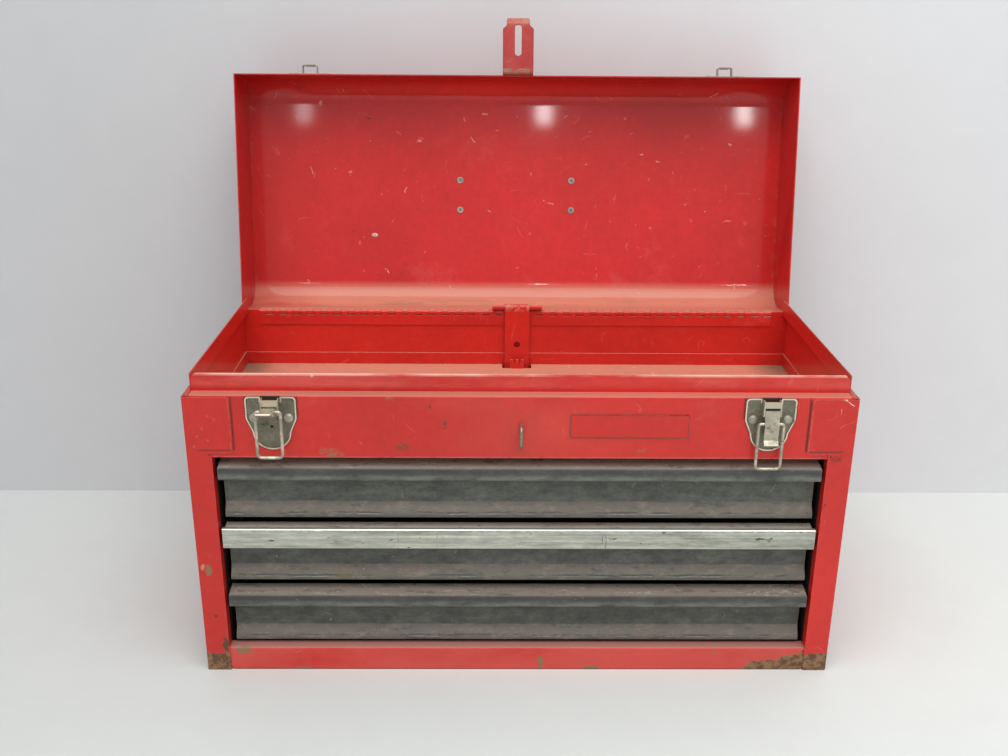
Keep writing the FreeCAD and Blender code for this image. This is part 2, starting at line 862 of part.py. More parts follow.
def handle():
    """The rod is bent like a staple, with its ends turned in through the brackets."""
    pose = lid_pose() * at(0, 0, rod_height) * turned(sized("handle_angle"))
    rod = new_body("handle_rod")
    end, out, reach = sized("rod_inner_end"), sized("rod_overhang"), sized("rod_reach")
    turn = sized("rod_bend")
    path = [(-end, size(0)), (-out, size(0), turn), (-out, reach, turn), (out, reach, turn),
            (out, size(0), turn), (end, size(0))]
    wire_form(rod, "XY_Plane", ("YZ_Plane", -end), polygon(0, 0, sized("rod_radius"), ROD_SIDES), path)
    rod.Placement = pose
    grip = new_body("handle_grip")
    bore = sized("rod_radius") + sized("running_fit")
    pad_across(grip, sized("grip_length"), (reach, size(0), sized("grip_radius")), (reach, size(0), bore))
    tip = grip.Tip
    rims = [i for i, edge in enumerate(tip.Shape.Edges, 1)
            if near(edge.Length, sized("grip_radius") * math.tau)]
    slope = grip.newObject("PartDesign::Chamfer", "grip_chamfer")
    slope.Base = (tip, ["Edge%d" % i for i in rims])
    bind(slope, "Size", sized("grip_round"))
    doc.recompute()
    grip.Placement = pose


# --- drawers -------------------------------------------------------------------------------------


def drawer_front(label, level):
    """A pressed front with a full-width pull near its top and a rolled bulge along its foot."""
    body = new_body(label)
    skin = sized("drawer_gauge")
    slope_back = tray_front + sized("front_lip")
    bulge = front_face - sized("bulge_depth")
    path = [
        (slope_back, front_top), (pull_face, pull_high), (pull_face, pull_low),
        (front_face, pull_low), (front_face, sized("bulge_top"), sized("bulge_bend")),
        (bulge, sized("bulge_low"), sized("bulge_round")), (bulge, skin * 1.5),
        (tray_front - skin / 4, size(0)),
    ]
    pad_across(body, pull_half * 2, strip(path, skin, 1))
    half = pull_half - sized("pull_overhang")
    ends = [box(half * hand, pull_half * hand, -skin, pull_low - gap) for hand in (-1, 1)]
    cut_y(body, pull_face - skin, sized("pull_depth") + skin * 3, *ends)
    place(body, z=drawer_height(level))


def drawer_tray(label, level):
    """The drawer's pan, with flanges along its sides that ride in the runners."""
    body = new_body(label)
    skin = sized("drawer_gauge")
    back = panel_inside - sized("tray_back_gap")
    inner_half = tray_half - skin
    pad_z(body, size(0), tray_wall, box(-tray_half, tray_half, tray_front, back))
    cut_z(body, skin, tray_wall - skin, box(-inner_half, inner_half, tray_front + skin, back - skin))
    corner = sized("tray_corner")
    flange_edge = opening_half - gauge - sized("tray_side_gap")
    for hand in (-1, 1):
        flange = box(inner_half * hand, flange_edge * hand, tray_front + corner, back - corner)
        pad_z(body, flange_under, skin, flange)
    place(body, z=drawer_height(level))


def drawer_trim(label, level):
    """An aluminium strip that clips over the pull."""
    body = new_body(label)
    wall = sized("trim_wall")
    outer = pull_face - wall
    low = pull_low - sized("trim_drop")
    high = low + sized("trim_height")
    top_lip = outer + sized("trim_top_lip")
    path = [(top_lip, high), (outer, high), (outer, low), (outer + sized("trim_bottom_lip"), low)]
    pad_across(body, (pull_half + sized("trim_overhang")) * 2, strip(path, wall, 1, inner=wall / 4))
    place(body, z=drawer_height(level))


# --- latches -------------------------------------------------------------------------------------

pin_y = rail_face - sized("lever_pin_out")
pin_z = ledge - sized("lever_pin_drop")


def latch_plate(label, hand):
    """A pressed shield with a raised rim, and a bridge with two cheeks that holds the lever's pin."""
    body = new_body(label)
    wide = sized("latch_plate_width") / 2
    waist = sized("latch_waist") / 2
    top = ledge - sized("latch_plate_drop") - pin_z
    low = top - sized("latch_plate_height")
    shoulder = top - sized("latch_shoulder")
    notch = sized("latch_notch_width") / 2
    depth = sized("latch_notch_depth")
    rim = sized("latch_rim")
    back = sized("lever_pin_out")
    corner = sized("strike_corner")
    curve = sized("latch_curve")

    def shield(inset):
        side, hip = wide - inset, waist - inset
        taper = shoulder - sized("latch_taper")
        head, foot = top - inset, low + inset
        nook = notch + inset
        right = [
            (nook, head - depth), (nook, head), (side, head, corner - inset / 2),
            (side, shoulder, curve), (hip, taper, curve), (hip, foot, hip - gap),
        ]
        left = [(-corner[0],) + corner[1:] for corner in right[::-1]]
        return right + left

    pad_y(body, back - rim, rim, shield(size(0)))
    cut_y(body, back - rim, rim - gauge, shield(gauge))
    cut_y(body, back - gauge, gauge, (size(0), -sized("latch_hole_drop"), sized("latch_hole_radius")))
    inner = sized("lever_width") / 2 + gap
    outer = inner + gauge
    front = back - sized("cheek_out")
    rise, drop = sized("cheek_rise"), sized("cheek_drop")
    rounded = sized("cheek_corner")
    cheek = [(back - gauge, -drop), (back - gauge, rise), (front, rise, rounded), (front, -drop, rounded)]
    pin_hole = barrel_outline(0, 0, sized("lever_pin_radius") + sized("running_fit"), HEAD_SIDES)
    for side in (-1, 1):
        low_x = inner if side > 0 else -outer
        pad_x(body, low_x, gauge, cheek, pin_hole)
    pad_y(body, front, gauge, box(-outer, outer, rise - sized("bridge_height"), rise))
    place(body, latch_offset * hand, pin_y, pin_z)


def lever_pin(label, hand):
    body = new_body(label)
    outer = sized("lever_width") / 2 + gap + gauge
    pad_across(body, (outer + gap) * 2, (size(0), size(0), sized("lever_pin_radius")))
    place(body, latch_offset * hand, pin_y, pin_z)


def latch_rivets():
    body = new_body("latch_rivets")
    height = ledge - sized("latch_rivet_drop")
    domed_heads(body, rail_face - gauge, paired_spots(height), sized("latch_rivet_radius"))


def paired_spots(height):
    """Two rivets at each latch, one to each side of its middle."""
    spread = sized("latch_rivet_offset")
    return [(latch_offset * i + spread * j, height) for i in (-1, 1) for j in (-1, 1)]


def latch_lever(label, hand, opened):
    """A bent lever in channel form, drawn about its pin, hanging shut."""
    body = new_body(label)
    skin = sized("lever_gauge")
    wide = sized("lever_width")
    long = sized("lever_length")
    crown = sized("lever_pin_radius") + skin
    pivot_out, pivot_drop = sized("bail_pivot_out"), sized("bail_pivot_drop")
    round_bend = sized("lever_bend")
    knee = -pivot_out - bead
    neck = knee + sized("lever_dip")
    brow = crown * 0.7
    path = [(-crown, brow), (-crown, -crown, round_bend), (knee, -pivot_drop, round_bend),
            (neck, sized("lever_toe") - long, round_bend), (neck - sized("lever_curl"), -long)]
    pad_across(body, wide, strip(path, skin, 1))
    hip = -pivot_drop - bead
    flank = [(-crown + skin / 2, brow), (crown, brow, skin), (crown, -crown, skin),
             (size(0), hip - skin, skin), (knee + skin / 2, hip - round_bend),
             (knee + skin / 2, -pivot_drop), (-crown + skin / 2, -crown)]
    fit = sized("running_fit")
    holes = [barrel_outline(0, 0, sized("lever_pin_radius") + fit, HEAD_SIDES),
             (-pivot_out, -pivot_drop, sized("bail_wire") + fit)]
    for side in (-1, 1):
        low = wide / 2 - skin if side > 0 else -wide / 2
        pad_x(body, low, skin, flank, *holes)
    body.Placement = at(latch_offset * hand, pin_y, pin_z) * turned(-opened)


bead = sized("bail_wire") + gap + sized("lever_gauge")


def bail(label, hand, opened):
    """A wire loop whose ends turn into the lever's sides, hanging by its own weight."""
    body = new_body(label)
    half = sized("bail_width") / 2
    end = sized("lever_width") / 2 - sized("lever_gauge") - gap
    long, turn = sized("bail_length"), sized("bail_bend")
    path = [(-end, size(0)), (-half, size(0), turn / 2), (-half, -long, turn), (half, -long, turn),
            (half, size(0), turn / 2), (end, size(0))]
    wire_form(body, "XZ_Plane", ("YZ_Plane", -end), polygon(0, 0, sized("bail_wire"), WIRE_SIDES), path)
    shut_pivot = Vector(0, -number(sized("bail_pivot_out")), -number(sized("bail_pivot_drop")))
    pivot = turned(-opened).multVec(shut_pivot)
    body.Placement = at(latch_offset * hand, pin_y + pivot.y, pin_z + pivot.z)


def strike(label, hand):
    """A plate on the lid's front with a bridge pressed out of it, whose lip holds the bail."""
    body = new_body(label)
    half = sized("strike_width") / 2
    low = ledge + sized("strike_rise")
    corner = sized("strike_corner")
    face = -half_depth - gauge
    outline = [(x, z, corner) for x, z in box(-half, half, low, low + sized("strike_height"))]
    pad_y(body, face, gauge, outline)
    out = -half_depth - sized("hook_reach")
    shelf = pin_z - sized("bail_pivot_drop") + sized("bail_length") - sized("bail_wire") - gap
    side = sized("hook_width") / 2
    turn = sized("hook_bend")
    bridge = strip([(-side, face), (-side, out, turn), (side, out, turn), (side, face)], gauge, 1)
    pad_z(body, shelf - sized("hook_height"), sized("hook_height"), bridge)
    lip_half = side - turn
    pad_z(body, shelf, sized("hook_lip"), box(-lip_half, lip_half, out, out + gauge))
    body.Placement = lid_pose() * at(latch_offset * hand, 0, 0)


def strike_rivets():
    body = new_body("strike_rivets")
    height = ledge + sized("strike_rise") + sized("strike_height") / 2
    domed_heads(body, -half_depth - gauge, paired_spots(height), sized("strike_rivet_radius"))
    body.Placement = lid_pose()


# --- hasp, staple and badge ----------------------------------------------------------------------

hasp_barrel = sized("hasp_barrel")
hasp_y = -half_depth - hasp_barrel - gap
hasp_z = ledge - sized("hasp_drop")
hasp_step = sized("hasp_width") / 4


def hasp_knuckles(body, first):
    """Two of the four rolled knuckles of the hasp, drawn about its pin."""
    bore = sized("hasp_pin_radius") + sized("running_fit")
    for index in (first, first + 2):
        start = hasp_step * (index - 2) + sized("knuckle_gap") / 2
        length = hasp_step - sized("knuckle_gap")
        pad_x(body, start, length, barrel_outline(0, 0, hasp_barrel, HEAD_SIDES))
        cut(body, "YZ_Plane", start + length, length, [barrel_outline(0, 0, bore, HEAD_SIDES)])


def hasp():
    """A leaf on the lid's front, a pin, and a slotted flap that stands straight out from the lid."""
    pivot = lid_pose() * at(0, hasp_y, hasp_z)
    skin = sized("hasp_gauge")
    wide = sized("hasp_width") / 2
    inner_face = hasp_barrel + gap
    leaf = new_body("hasp_leaf")
    leaf_low = hasp_barrel + gap
    pad_y(leaf, inner_face - gauge, gauge, box(-wide, wide, leaf_low, sized("hasp_leaf_height")))
    for index in (0, 2):
        start = hasp_step * (index - 2) + sized("knuckle_gap") / 2
        length = hasp_step - sized("knuckle_gap")
        pad_x(leaf, start, length, box(inner_face - gauge, hasp_barrel, size(0), leaf_low))
    hasp_knuckles(leaf, 0)
    leaf.Placement = pivot
    pin = new_body("hasp_pin")
    pad_across(pin, wide * 2, (size(0), size(0), sized("hasp_pin_radius")))
    pin.Placement = pivot
    flap = new_body("hasp_flap")
    shoulder, tip = sized("flap_shoulder"), sized("flap_tip")
    tip_half = sized("flap_tip_width") / 2
    notch = sized("flap_notch")
    corner = sized("flap_corner")
    root = hasp_barrel + gap
    face = [
        (-wide, -root), (-wide, notch - shoulder), (-tip_half, -shoulder, corner),
        (-tip_half, -shoulder - skin), (tip_half, -shoulder - skin), (tip_half, -shoulder, corner),
        (wide, notch - shoulder), (wide, -root),
    ]
    slot_half = sized("flap_slot_width") / 2
    slot_top, slot_low = -sized("flap_slot_start"), -sized("flap_slot_end")
    slot_round = slot_half - sized("running_fit") / 2
    slot = [(x, z, slot_round) for x, z in box(-slot_half, slot_half, slot_low, slot_top)]
    pad_y(flap, hasp_barrel - skin, skin, face)
    cut_y(flap, hasp_barrel - skin, skin, slot)
    lip_low, lip_out = -tip, sized("flap_tip_bend")
    back, front = hasp_barrel, hasp_barrel - skin
    lip = [(front, -shoulder), (back, -shoulder), (back, -shoulder - skin),
           (back - lip_out, lip_low), (front - lip_out, lip_low), (front, -shoulder - skin)]
    pad_across(flap, tip_half * 2, lip)
    fillet(flap, corner, "y", lambda p: near(abs(p.x), tip_half) and near(p.z, lip_low))
    for index in (1, 3):
        start = hasp_step * (index - 2) + sized("knuckle_gap") / 2
        length = hasp_step - sized("knuckle_gap")
        pad_x(flap, start, length, box(front, back, -root, size(0)))
    hasp_knuckles(flap, 1)
    flap.Placement = pivot * turned(-90)


def hasp_staple():
    """A loop of round bar that the flap's slot drops over."""
    body = new_body("hasp_staple")
    wire = sized("staple_wire")
    turn = sized("staple_bend")
    middle = ledge - sized("staple_drop")
    arm = sized("staple_height") / 2 - wire
    out = rail_face - sized("staple_reach") + wire
    high, low = middle + arm, middle - arm
    path = [(rail_face, high), (out, high, turn), (out, low, turn), (rail_face, low)]
    wire_form(body, "YZ_Plane", ("XZ_Plane", -rail_face), polygon(0, high, wire, WIRE_SIDES), path)


def badge_plate():
    """A blank plate where a badge would go."""
    body = new_body("badge_plate")
    middle, height = sized("badge_offset"), ledge - sized("badge_drop")
    half, tall = sized("badge_width") / 2, sized("badge_tall") / 2
    outline = [(x, z, sized("badge_corner")) for x, z in
               box(middle - half, middle + half, height - tall, height + tall)]
    pad_y(body, rail_face - sized("badge_gauge"), sized("badge_gauge"), outline)


# --- drawer lock ---------------------------------------------------------------------------------


def lock_parts():
    """A strap hung from the lid: shutting the lid drops its hooks behind the drawers' back walls."""
    strap_half = sized("strap_width") / 2
    barrel = sized("lock_barrel")
    bore = sized("lock_pin_radius") + sized("running_fit")
    inn, down = sized("lock_in"), sized("lock_down")
    reach = strap_half + gap + sized("lock_knuckle")
    pivot = lid_pose() * at(sized("strap_offset"), hinge_y, hinge_z)

    bracket = new_body("lock_bracket")
    skin = sized("strap_gauge")
    back = barrel - inn
    arm = box(back - skin, back, -down, hinge_barrel + gap * 2)
    foot = box(back - skin, -hinge_barrel, hinge_barrel + gap * 2, sized("leaf_width"))
    pad_across(bracket, reach * 2, foot)
    for side in (-1, 1):
        low = strap_half + gap if side > 0 else -reach
        pad_x(bracket, low, sized("lock_knuckle"), arm)
        pad_x(bracket, low, sized("lock_knuckle"), barrel_outline(-inn, -down, barrel, HEAD_SIDES))
    cut_across(bracket, reach * 2, barrel_outline(-inn, -down, bore, HEAD_SIDES))
    bracket.Placement = pivot

    pin = new_body("lock_pin")
    pad_across(pin, reach * 2, (-inn, -down, sized("lock_pin_radius")))
    pin.Placement = pivot

    # The bar is drawn about its pin, with its hooks where they meet the drawers when the lid is shut.
    shut_z = hinge_z - down
    tray_top = drawer_height(len(LEVELS) - 1) + tray_wall
    strap_low = drawer_height(0) + tray_wall - sized("strap_tail") - shut_z
    bar = new_body("lock_bar")
    pad_across(bar, strap_half * 2, box(-barrel, skin - barrel, strap_low, size(0)))
    pad_across(bar, strap_half * 2, barrel_outline(0, 0, barrel, HEAD_SIDES))
    cut_across(bar, strap_half * 2, barrel_outline(0, 0, bore, HEAD_SIDES))
    cut_y(bar, -barrel, skin, (size(0), -sized("strap_hole_drop"), sized("strap_hole_radius")))
    fillet(bar, sized("strap_corner"), "y", lambda p: near(p.z, strap_low) and near(abs(p.x), strap_half))
    arm = tray_top + sized("lock_hook_rise") + skin - shut_z
    out = -barrel - sized("lock_hook_reach")
    path = [(-barrel, arm), (out, arm), (out, arm - sized("lock_hook_tip"))]
    hook = pad_across(bar, sized("lock_hook_width"), strip(path, skin, 1))
    repeat(bar, [hook], "Z_Axis", len(LEVELS), drawer_pitch, backwards=True)
    opened = lid_pose().multVec(Vector(0, number(hinge_y - inn), number(shut_z)))
    bar.Placement = at(sized("strap_offset"), opened.y, opened.z)


# --- the chest -----------------------------------------------------------------------------------

for word, hand in HANDS.items():
    case_side(word + "_side", hand)
    rear_post(word + "_rear_post", hand)
    lid_end("lid_" + word + "_end", hand)
    latch_plate(word + "_latch_plate", hand)
    lever_pin(word + "_lever_pin", hand)
    strike(word + "_strike", hand)
    handle_bracket("handle_" + word + "_bracket", hand)
    for level, level_word in enumerate(LEVELS):
        runner(word + "_" + level_word + "_runner", hand, level)

back_panel()
front_top_rail()
bottom_front_rail()
bottom_pan()
till_pan()
hinge()
lid_shell()
handle_rivets()
handle()
for level, level_word in enumerate(LEVELS):
    drawer_front(level_word + "_drawer_front", level)
    drawer_tray(level_word + "_drawer_tray", level)
drawer_trim("middle_drawer_trim", LEVELS.index("middle"))
latch_rivets()
strike_rivets()
left_open = sized("left_lever_angle")
latch_lever("left_lever", HANDS["left"], left_open)
bail("left_bail", HANDS["left"], left_open)
latch_lever("right_lever", HANDS["right"], size(0))
bail("right_bail", HANDS["right"], size(0))
hasp()
hasp_staple()
badge_plate()
lock_parts()
doc.recompute()

for obj in doc.Objects:
    if "Invalid" in obj.State or "Error" in obj.State:
        raise RuntimeError(obj.Label + " failed: " + ", ".join(obj.State))

for body in [obj for obj in doc.Objects if obj.TypeId == "PartDesign::Body"]:
    if body.Shape.isNull() or not body.Shape.isValid():
        raise RuntimeError(body.Label + " has no valid shape")
    body.Shape.exportStep("parts/%s.step" % body.Label)
    print(body.Label, len(body.Shape.Solids), round(body.Shape.Volume, 1))
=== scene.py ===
"""Looks for the portable tool chest: worn red enamel, dark drawers, tarnished latches and a pale studio."""

import math
import bpy
from mathutils import Matrix, Vector


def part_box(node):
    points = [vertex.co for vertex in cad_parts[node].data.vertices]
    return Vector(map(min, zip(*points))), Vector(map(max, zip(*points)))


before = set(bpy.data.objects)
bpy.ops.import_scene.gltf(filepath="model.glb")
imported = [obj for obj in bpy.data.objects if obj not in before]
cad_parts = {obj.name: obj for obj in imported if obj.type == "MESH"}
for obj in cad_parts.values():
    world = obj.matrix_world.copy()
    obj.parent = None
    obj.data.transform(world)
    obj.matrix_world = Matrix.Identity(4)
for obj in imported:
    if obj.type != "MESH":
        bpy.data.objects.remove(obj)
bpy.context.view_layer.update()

# Landmarks on the chest at rest, in metres, from the boxes of its pieces.
SIDE_LOW, SIDE_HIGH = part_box("right_side")
RAIL_LOW, RAIL_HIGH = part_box("front_top_rail")
LATCH_LOW, LATCH_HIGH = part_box("right_latch_plate")
LID_LOW, LID_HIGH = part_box("lid_shell")
HASP_LOW, HASP_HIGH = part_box("hasp_flap")
TRIM_LOW, TRIM_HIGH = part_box("middle_drawer_trim")
BADGE_LOW, BADGE_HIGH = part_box("badge_plate")
SHEET = 0.0010
CASE_SIDE = SIDE_HIGH.x
COLUMN_FRONT = SIDE_LOW.y
RAIL_FRONT = RAIL_LOW.y
RAIL_FOOT = RAIL_LOW.z
RIM_TOP = RAIL_HIGH.z
LEDGE = RIM_TOP - 0.0145
TILL_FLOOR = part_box("till_pan")[0].z + SHEET
HINGE_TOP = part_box("hinge_upper_leaf")[1].z
LATCH_MIDDLE = (LATCH_LOW.x + LATCH_HIGH.x) / 2
LATCH_HALF = (LATCH_HIGH.x - LATCH_LOW.x) / 2

# Colours, as linear red, green and blue.
ENAMEL = (0.62, 0.021, 0.014)
LID_ENAMEL = (0.63, 0.021, 0.020)
HASP_ENAMEL = (0.40, 0.032, 0.028)
# Deep red: darker patches of the enamel, and also painted shade on the left side, the column's returns and
# the lid.
ENAMEL_DEEP = (0.40, 0.012, 0.010)
# Pale red: paler patches, scratches and worn paint, and also the painted highlights on the weld dimples.
ENAMEL_PALE = (0.72, 0.13, 0.105)
ENAMEL_RUBBED = (0.80, 0.22, 0.18)
WORN_EDGE = (0.80, 0.42, 0.33)
CHIP = (0.80, 0.68, 0.60)
DUST = (0.60, 0.235, 0.155)
DUST_BROWN = (0.30, 0.155, 0.105)
LEDGE_DUST = (0.46, 0.190, 0.130)
FOOT_DUST = (0.40, 0.185, 0.150)
CORNER_DIRT = (0.17, 0.125, 0.070)
RUST = (0.125, 0.060, 0.027)
RUST_LIGHT = (0.27, 0.150, 0.078)
HASP_BARE = (0.42, 0.17, 0.11)
# Dark dirt; also the painted shade along seams and beside the latch plates.
GRIME_AND_SHADE = (0.050, 0.026, 0.019)
SHADE = (0.006, 0.004, 0.004)
LATCH_SHADE = (0.030, 0.016, 0.012)
# Painted shade for the runners and posts inside the case, a little lighter on their edges.
INNER_SHADE = (0.018, 0.014, 0.012)
INNER_SHADE_EDGE = (0.09, 0.08, 0.07)
SLATE = (0.079, 0.081, 0.069)
SLATE_DARK = (0.040, 0.043, 0.046)
# Pale slate: lighter patches of the paint, and also the painted highlight low on the pulls.
SLATE_PALE = (0.185, 0.185, 0.165)
SLATE_BROWN = (0.175, 0.150, 0.123)
BULGE_RUST = (0.20, 0.115, 0.060)
STRIP_RUST = (0.30, 0.165, 0.10)
STRIP_BROWN = {"bottom": (0.27, 0.215, 0.175), "middle": (0.47, 0.41, 0.34), "top": (0.33, 0.29, 0.245)}
# Pale lint and scratches; also the painted highlight along the drawers' lips.
LINT_AND_HIGHLIGHT = (0.46, 0.44, 0.39)
ALUMINIUM = (0.55, 0.555, 0.48)
ALUMINIUM_DARK = (0.25, 0.25, 0.20)
ALUMINIUM_BRIGHT = (0.80, 0.82, 0.74)
PLATE = (0.205, 0.192, 0.142)
PLATE_DARK = (0.050, 0.042, 0.028)
# Bright plating; also the painted highlight along the latch plates' rims.
PLATE_BRIGHT = (0.76, 0.70, 0.55)
STAIN = (0.16, 0.10, 0.055)
LEVER = (0.50, 0.46, 0.36)
RIVET = (0.42, 0.39, 0.32)
STRIKE = (0.36, 0.35, 0.30)
STAPLE = (0.34, 0.27, 0.20)
HANDLE = (0.46, 0.44, 0.38)
GRIP = (0.018, 0.018, 0.019)
GRIP_WORN = (0.12, 0.11, 0.10)
# The studio's colours at its left and at its right; the step between them is painted light.
WALL_LEFT = (0.550, 0.558, 0.570)
WALL_RIGHT = (0.725, 0.735, 0.750)
FLOOR_LEFT = (0.560, 0.580, 0.568)
FLOOR_RIGHT = (0.700, 0.722, 0.700)

EVEN = (1, 1, 1)

# The Mix node's sockets for each kind of value: the one under, the one over and the result.
MIX_SOCKETS = {"FLOAT": (2, 3, 0), "RGBA": (6, 7, 2)}


# --- finishes --------------------------------------------------------------------------------


class Finish:
    """A material in the making: each call adds one step, and gives the socket that holds its result."""

    def __init__(self, name, colour, roughness, metallic=0.0, seed=0.0):
        self.material = bpy.data.materials.new(name)
        self.material.use_nodes = True
        self.tree = self.material.node_tree
        self.shader = self.tree.nodes["Principled BSDF"]
        self.shader.inputs["Metallic"].default_value = metallic
        places = self.tree.nodes.new("ShaderNodeTexCoord")
        self.place = places.outputs["Object"]
        self.normal = places.outputs["Normal"]
        self.colour = tuple(colour) + (1.0,)
        self.roughness = roughness
        self.relief = None
        self.seed = seed

    def put(self, socket, value):
        """Feed a socket from another socket or with a plain value."""
        if isinstance(value, bpy.types.NodeSocket):
            self.tree.links.new(value, socket)
        elif value is not None:
            socket.default_value = value

    def maths(self, kind, *values):
        node = self.tree.nodes.new("ShaderNodeMath")
        node.operation = kind
        for socket, value in zip(node.inputs, values):
            self.put(socket, value)
        return node.outputs[0]

    def vector(self, kind, *values):
        node = self.tree.nodes.new("ShaderNodeVectorMath")
        node.operation = kind
        for socket, value in zip(node.inputs, values):
            self.put(socket, value)
        return node.outputs["Value" if kind in ("LENGTH", "DOT_PRODUCT") else "Vector"]

    def both(self, *masks):
        """Where all the masks are."""
        total = masks[0]
        for mask in masks[1:]:
            total = self.maths("MULTIPLY", total, mask)
        return total

    def either(self, *masks):
        """Where any of the masks is."""
        total = masks[0]
        for mask in masks[1:]:
            total = self.maths("MAXIMUM", total, mask)
        return total

    def rise(self, value, low, high):
        """0 below low, 1 above high, and smooth between; a low above high falls instead."""
        node = self.tree.nodes.new("ShaderNodeMapRange")
        node.interpolation_type = "SMOOTHSTEP"
        for name, given in (("Value", value), ("From Min", low), ("From Max", high)):
            self.put(node.inputs[name], given)
        return node.outputs["Result"]

    def noise(self, scale, detail=4.0, rough=0.55, stretch=EVEN, turn=(0, 0, 0), shift=0.0):
        placed = self.tree.nodes.new("ShaderNodeMapping")
        self.put(placed.inputs["Vector"], self.place)
        placed.inputs["Scale"].default_value = stretch
        placed.inputs["Rotation"].default_value = turn
        placed.inputs["Location"].default_value = (self.seed + shift, shift, self.seed - shift)
        node = self.tree.nodes.new("ShaderNodeTexNoise")
        self.put(node.inputs["Vector"], placed.outputs[0])
        for name, given in (("Scale", scale), ("Detail", detail), ("Roughness", rough)):
            node.inputs[name].default_value = given
        return node.outputs["Fac"]

    def patches(self, scale, low, high, detail=5, rough=0.7, stretch=EVEN, shift=0.0):
        """Patches where a noise is strong: a higher low and high leave fewer of them."""
        return self.rise(self.noise(scale, detail, rough, stretch, shift=shift), low, high)

    def wander(self, scale, size, shift=0.0):
        """A wobble to add to a place, so that a straight border turns ragged."""
        return self.maths("MULTIPLY_ADD", self.noise(scale, 4, 0.65, shift=shift), 2 * size, -size)

    def axis(self, name, source=None):
        """The place along X, Y or Z, or that part of another vector."""
        node = self.tree.nodes.new("ShaderNodeSeparateXYZ")
        self.put(node.inputs[0], source or self.place)
        return node.outputs[name]

    def away(self, at, place):
        """How far a place on an axis is from another one, on either side."""
        return self.maths("ABSOLUTE", self.maths("SUBTRACT", at, place))

    def out_from_middle(self):
        return self.maths("ABSOLUTE", self.axis("X"))

    def band(self, at, low, high, soft=0.0004):
        """1 between two places on an axis, with soft sides."""
        return self.both(self.rise(at, low - soft, low + soft), self.rise(at, high + soft, high - soft))

    def line(self, at, place, half, wobble=None):
        """1 on a line across an axis, half as wide as given on each side."""
        if wobble is not None:
            at = self.maths("ADD", at, wobble)
        return self.rise(self.away(at, place), half * 1.5, half * 0.5)

    def near(self, spot, reach, ragged=None, squeeze=EVEN):
        """1 at a spot and 0 beyond its reach; the edge is ragged where a noise is given."""
        offset = self.vector("MULTIPLY", self.vector("SUBTRACT", self.place, spot), squeeze)
        distance = self.vector("LENGTH", offset)
        if ragged is None:
            return self.rise(distance, reach, reach * 0.6)
        eaten = self.maths("MULTIPLY_ADD", ragged, reach * 1.6, distance)
        return self.rise(eaten, reach * 1.45, reach * 1.15)

    def edges(self, radius, low=0.04, high=0.5):
        """Where a surface turns sharply."""
        bevel = self.tree.nodes.new("ShaderNodeBevel")
        bevel.samples = 4
        bevel.inputs["Radius"].default_value = radius
        flat = self.tree.nodes.new("ShaderNodeNewGeometry")
        turn = self.vector("DOT_PRODUCT", bevel.outputs[0], flat.outputs["Normal"])
        return self.rise(turn, 1.0 - low, 1.0 - high)

    def facing_up(self):
        return self.rise(self.axis("Z", self.normal), 0.6, 0.95)

    def hairlines(self, scale, thin, share, stretch=EVEN, turn=(0, 0, 0), shift=0.0):
        """Thin curved scratches, each a short way long."""
        hills = self.noise(scale, 0.6, 0.4, stretch, turn, shift)
        patch = self.noise(scale * 2.1, 1, 0.5, shift=shift + 4.7)
        line = self.rise(self.away(hills, 0.5), thin, thin * 0.3)
        return self.both(line, self.rise(patch, share, share + 0.05))

    def mix(self, kind, mask, under, over):
        node = self.tree.nodes.new("ShaderNodeMix")
        node.data_type = kind
        below, above, result = MIX_SOCKETS[kind]
        for index, value in ((0, mask), (below, under), (above, over)):
            self.put(node.inputs[index], value)
        return node.outputs[result]

    def tint(self, mask, colour, roughness=None, strength=1.0):
        """Lay a colour over what is there, where the mask is."""
        if strength != 1.0:
            mask = self.maths("MULTIPLY", mask, strength)
        self.colour = self.mix("RGBA", mask, self.colour, tuple(colour) + (1.0,))
        if roughness is not None:
            self.roughness = self.mix("FLOAT", mask, self.roughness, roughness)

    def shade(self, fac, low, high):
        """Multiply the colour by low where fac is a third and by high where it is two thirds."""
        span = self.tree.nodes.new("ShaderNodeMapRange")
        self.put(span.inputs["Value"], fac)
        for name, given in (("From Min", 0.33), ("From Max", 0.67), ("To Min", low), ("To Max", high)):
            span.inputs[name].default_value = given
        plain = not isinstance(self.colour, bpy.types.NodeSocket)
        node = self.tree.nodes.new("ShaderNodeVectorMath")
        node.operation = "SCALE"
        self.put(node.inputs[0], self.colour[:3] if plain else self.colour)
        self.put(node.inputs["Scale"], span.outputs["Result"])
        self.colour = node.outputs[0]

    def raised(self, fac, depth):
        """Add a relief, depth metres deep."""
        node = self.tree.nodes.new("ShaderNodeBump")
        node.inputs["Distance"].default_value = depth
        self.put(node.inputs["Height"], fac)
        self.put(node.inputs["Normal"], self.relief)
        self.relief = node.outputs[0]

    def done(self, **sockets):
        """Join what has been made to the shader, and set its other sockets by name."""
        self.put(self.shader.inputs["Base Color"], self.colour)
        self.put(self.shader.inputs["Roughness"], self.roughness)
        self.put(self.shader.inputs["Normal"], self.relief)
        for name, value in sockets.items():
            self.shader.inputs[name.replace("_", " ")].default_value = value
        return self.material


# --- red enamel ------------------------------------------------------------------------------


